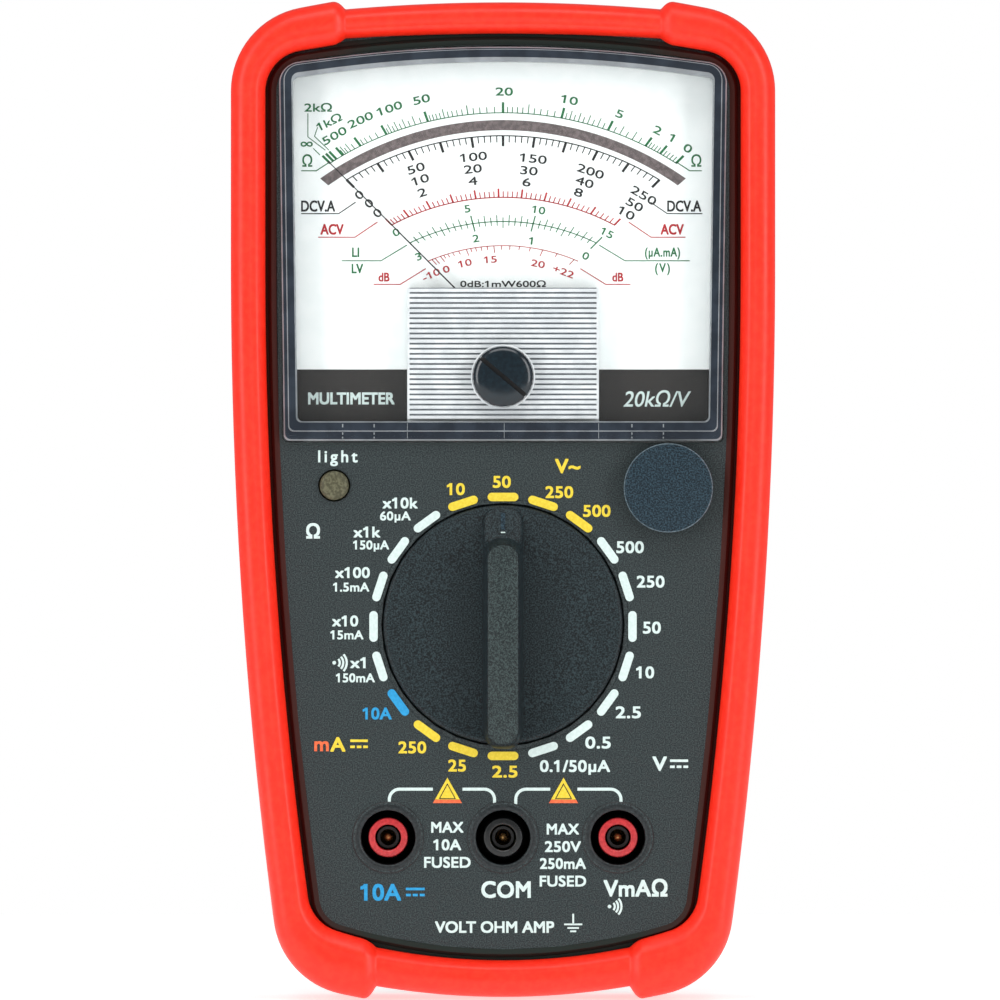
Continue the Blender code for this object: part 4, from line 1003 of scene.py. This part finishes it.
# panel legends: words, centre x and z, and optionally the width against the font's own
BIG, LARGE, NORMAL, SMALL, TINY = 2.6, 2.25, 1.85, 1.7, 1.4  # cap heights
LEGENDS = {
    ("ink_yellow", NORMAL): (("10", -7.8, 84.3), ("50", -0.2, 85.5), ("250", 9.3, 83.8), ("500", 15.5, 80.7),
                             ("2.5", 0.3, 37.6, 1.3), ("25", -7.6, 38.6), ("250", -15.0, 41.6)),
    ("ink_yellow", LARGE): (("V~", 10.7, 88.1, 1.05), ("A", -27.3, 42.1, 1.08)),
    ("ink_orange", LARGE): (("m", -30.0, 41.8, 1.05),),
    ("ink_blue", NORMAL): (("10A", -20.8, 47.2, 1.05),),
    ("ink_blue", BIG): (("10A", -20.2, 17.65, 1.05),),
    ("ink_white", NORMAL): (("500", 21.0, 74.7), ("250", 24.4, 69.0), ("50", 24.6, 61.4), ("10", 23.5, 54.0),
                            ("2.5", 20.7, 47.4, 1.3), ("0.5", 15.7, 42.4, 1.3), ("0.1/50µA", 11.9, 38.3, 1.12)),
    ("ink_white", SMALL): (("x1", -24.0, 55.6, 1.2), ("x10", -26.1, 62.5), ("x100", -24.9, 70.5),
                           ("x1k", -22.5, 77.2, 1.15), ("x10k", -17.0, 82.0), ("MAX", -9.2, 28.4, 1.0),
                           ("10A", -9.2, 25.5, 1.1), ("FUSED", -9.2, 22.6, 1.08), ("MAX", 9.9, 28.1, 1.0),
                           ("250V", 9.9, 25.2, 1.12), ("250mA", 9.9, 22.4, 1.02), ("FUSED", 9.9, 19.5, 1.08)),
    ("ink_white", TINY): (("150mA", -24.4, 53.1, 1.05), ("15mA", -25.8, 60.2, 1.08), ("1.5mA", -25.1, 68.1, 1.08),
                          ("150µA", -21.8, 74.9, 1.05), ("60µA", -17.8, 79.7, 1.1)),
    ("ink_white", LARGE): (("V", 25.9, 38.9), ("Ω", -31.4, 77.4, 1.0)),
    ("ink_white", BIG): (("COM", 0.5, 18.1, 0.95), ("VmAΩ", 21.9, 18.4, 0.98)),
}


def direct_current_sign(ink, x, z, width, stroke):
    """A full bar over three dashes."""
    ink.line([(x - width / 2, z + 0.5), (x + width / 2, z + 0.5)], stroke)
    dash = width * 0.26
    for middle in (x - width / 2 + dash / 2, x, x + width / 2 - dash / 2):
        ink.line([(middle - dash / 2, z - 0.5), (middle + dash / 2, z - 0.5)], stroke)


def sound_sign(ink, x, z, size):
    """A dot with three arcs opening to the right."""
    ink.dot(x, z, size * 0.13)
    for radius in (0.38, 0.62, 0.86):
        ink.line(arc_points((x, z), radius * size, -42, 42, 10), size * 0.15)


def jack_bracket(ink, start, end, foot):
    """The line from above a jack to a mark: up, round a corner and across."""
    height, radius = 34.7, 1.7
    side = 1 if end > start else -1
    corner = arc_points((start + side * radius, height - radius), radius, 180 if side > 0 else 0, 90, 8)
    ink.line([(start, foot)] + corner + [(end, height)], 0.5)


def build_panel_prints():
    inks = {name: Print(f"legend_{name[4:]}", FACE, name, "case_plastic") for name, _ in LEGENDS}
    for i, name in enumerate(RANGE_MARKS):
        turn = TAU * i / len(RANGE_MARKS)
        away = Vector((math.sin(turn), math.cos(turn)))
        across = Vector((away.y, -away.x))
        outline = []
        straight = MARK_LENGTH / 2 - MARK_WIDTH / 2
        for end, first in ((1, -90), (-1, 90)):
            outline += [(end * straight + u, v) for u, v in arc_points((0, 0), MARK_WIDTH / 2, first, first + 180, 8)]
        centre = Vector((0, KNOB - 0.3)) + away * MARK_RADIUS
        inks[name].area([tuple(centre + across * u + away * v) for u, v in outline])
    for (name, cap), labels in LEGENDS.items():
        for words, x, z, *stretch in labels:
            inks[name].text(words, x, z, cap, 0, stretch[0] if stretch else 1.13, 0.075 * cap, 1.04)
    white = inks["ink_white"]
    white.text("light", -27.3, 89.4, 1.9, 0, 1.0, 0.12, 1.35)
    direct_current_sign(white, 29.1, 38.9, 3.0, 0.42)
    direct_current_sign(inks["ink_yellow"], -23.8, 42.2, 2.9, 0.42)
    direct_current_sign(inks["ink_blue"], -14.5, 17.7, 3.1, 0.42)
    sound_sign(white, -27.9, 55.6, 2.4)
    sound_sign(white, 17.6, 15.3, 2.3)
    for start, end, foot in ((-18.8, -11.6, 32.5), (-1.4, -6.7, 32.2), (2.1, 7.8, 32.2), (19.5, 12.3, 32.5)):
        jack_bracket(white, start, end, foot)
    white.text("VOLT OHM AMP", -1.4, 11.9, 1.8, 0, 1.02, 0.14)
    white.line([(11.6, 14.1), (11.6, 12.4)], 0.3)
    for half, z in ((1.5, 12.35), (0.95, 11.75), (0.5, 11.2)):
        white.line([(11.6 - half, z), (11.6 + half, z)], 0.28)
    for ink in inks.values():
        ink.make()
    mark = Print("jack_marks", FACE, "ink_yellow", "case_plastic")
    base = Print("jack_mark_feet", FACE, "ink_orange", "case_plastic")
    trim = Print("jack_mark_lines", FACE - 0.04, "ink_black", "case_plastic")
    for x in (-9.2, 10.0):
        mark.area([(x - 2.05, 33.0), (x + 2.05, 33.0), (x, 36.6)])
        base.area([(x - 2.4, 32.4), (x + 2.4, 32.4), (x + 2.07, 32.97), (x - 2.07, 32.97)])
        trim.line([(x, 33.15), (x + 1.3, 33.15), (x, 35.55), (x - 1.3, 33.15), (x, 33.15)], 0.13)
    mark.make()
    base.make()
    trim.make()


# ---- CAD nodes that stay ----


def finish_cad_nodes():
    """Every CAD node takes the procedural finish of its own slot."""
    for part in frame["record"]["subparts"]:
        node = frame["nodes"][part["node"]]
        for holder in node.material_slots:
            holder.material = finishes[part["material_slot"]]


# ---- studio ----


def area_light(name, place, aim, size, power):
    data = bpy.data.lights.new(name, "AREA")
    data.shape = "RECTANGLE"
    data.size, data.size_y = size
    data.energy = power
    lamp = bpy.data.objects.new(name, data)
    lamp.location = place
    lamp.rotation_euler = (Vector(aim) - Vector(place)).to_track_quat("-Z", "Y").to_euler()
    bpy.context.scene.collection.objects.link(lamp)


AMBIENT = 0.32  # light from all around; the background itself shows as plain white


def build_studio():
    scene = bpy.context.scene
    scene.view_settings.view_transform = "Standard"
    world = bpy.data.worlds.new("studio")
    scene.world = world
    world.use_nodes = True
    tree = world.node_tree
    background = tree.nodes["Background"]
    background.inputs["Color"].default_value = (1, 1, 1, 1)
    seen = add(tree, "ShaderNodeLightPath").outputs["Is Camera Ray"]
    strength = add(tree, "ShaderNodeMapRange")
    strength.inputs["To Min"].default_value = AMBIENT
    strength.inputs["To Max"].default_value = 1.0
    tree.links.new(seen, strength.inputs["Value"])
    tree.links.new(strength.outputs["Result"], background.inputs["Strength"])
    middle = (0, 0, 0.0825)
    area_light("left_box", (-0.85, -0.75, 0.25), middle, (0.35, 1.1), 7)
    area_light("right_box", (0.85, -0.75, 0.25), middle, (0.35, 1.1), 7)
    area_light("top_box", (0, -0.5, 0.95), middle, (0.9, 0.35), 4)
    bm = bmesh.new()
    bmesh.ops.create_circle(bm, cap_ends=True, radius=0.6, segments=96)
    mesh = bpy.data.meshes.new("floor")
    bm.to_mesh(mesh)
    bm.free()
    made, tree, shader = shader_of("floor")
    tone = ramp(tree, noise(tree, 40, 2), (0.3, (0.9, 0.9, 0.9)), (0.7, (0.94, 0.94, 0.94)))
    tree.links.new(tone, shader.inputs["Base Color"])
    shader.inputs["Roughness"].default_value = 0.7
    shader.inputs["Emission Color"].default_value = (1, 1, 1, 1)
    shader.inputs["Emission Strength"].default_value = 0.6
    mesh.materials.append(made)
    floor = bpy.data.objects.new("floor", mesh)
    floor.location.z = cad_bounds[0][2] - 0.0002
    scene.collection.objects.link(floor)


def build_camera():
    """Square to the face and far away, so that the whole height just fills the picture."""
    distance, sensor = 3.0, 36.0
    data = bpy.data.cameras.new("camera")
    data.sensor_width = sensor
    data.lens = sensor * distance / 0.1652
    camera = bpy.data.objects.new("camera", data)
    camera.location = (-0.0005, -0.018 - distance, 0.0825)
    camera.rotation_euler = (math.radians(90), 0, 0)
    bpy.context.scene.collection.objects.link(camera)
    bpy.context.scene.camera = camera


build_camera()
finish_cad_nodes()
build_holster()
build_lip_shade_band()
build_lens()
build_movement_cover()
build_needle()
build_zero_screw()
build_range_knob()
build_ohm_knob()
build_light_button()
for jack in JACKS:
    build_jack(jack)
build_dial_prints()
build_panel_prints()
build_studio()
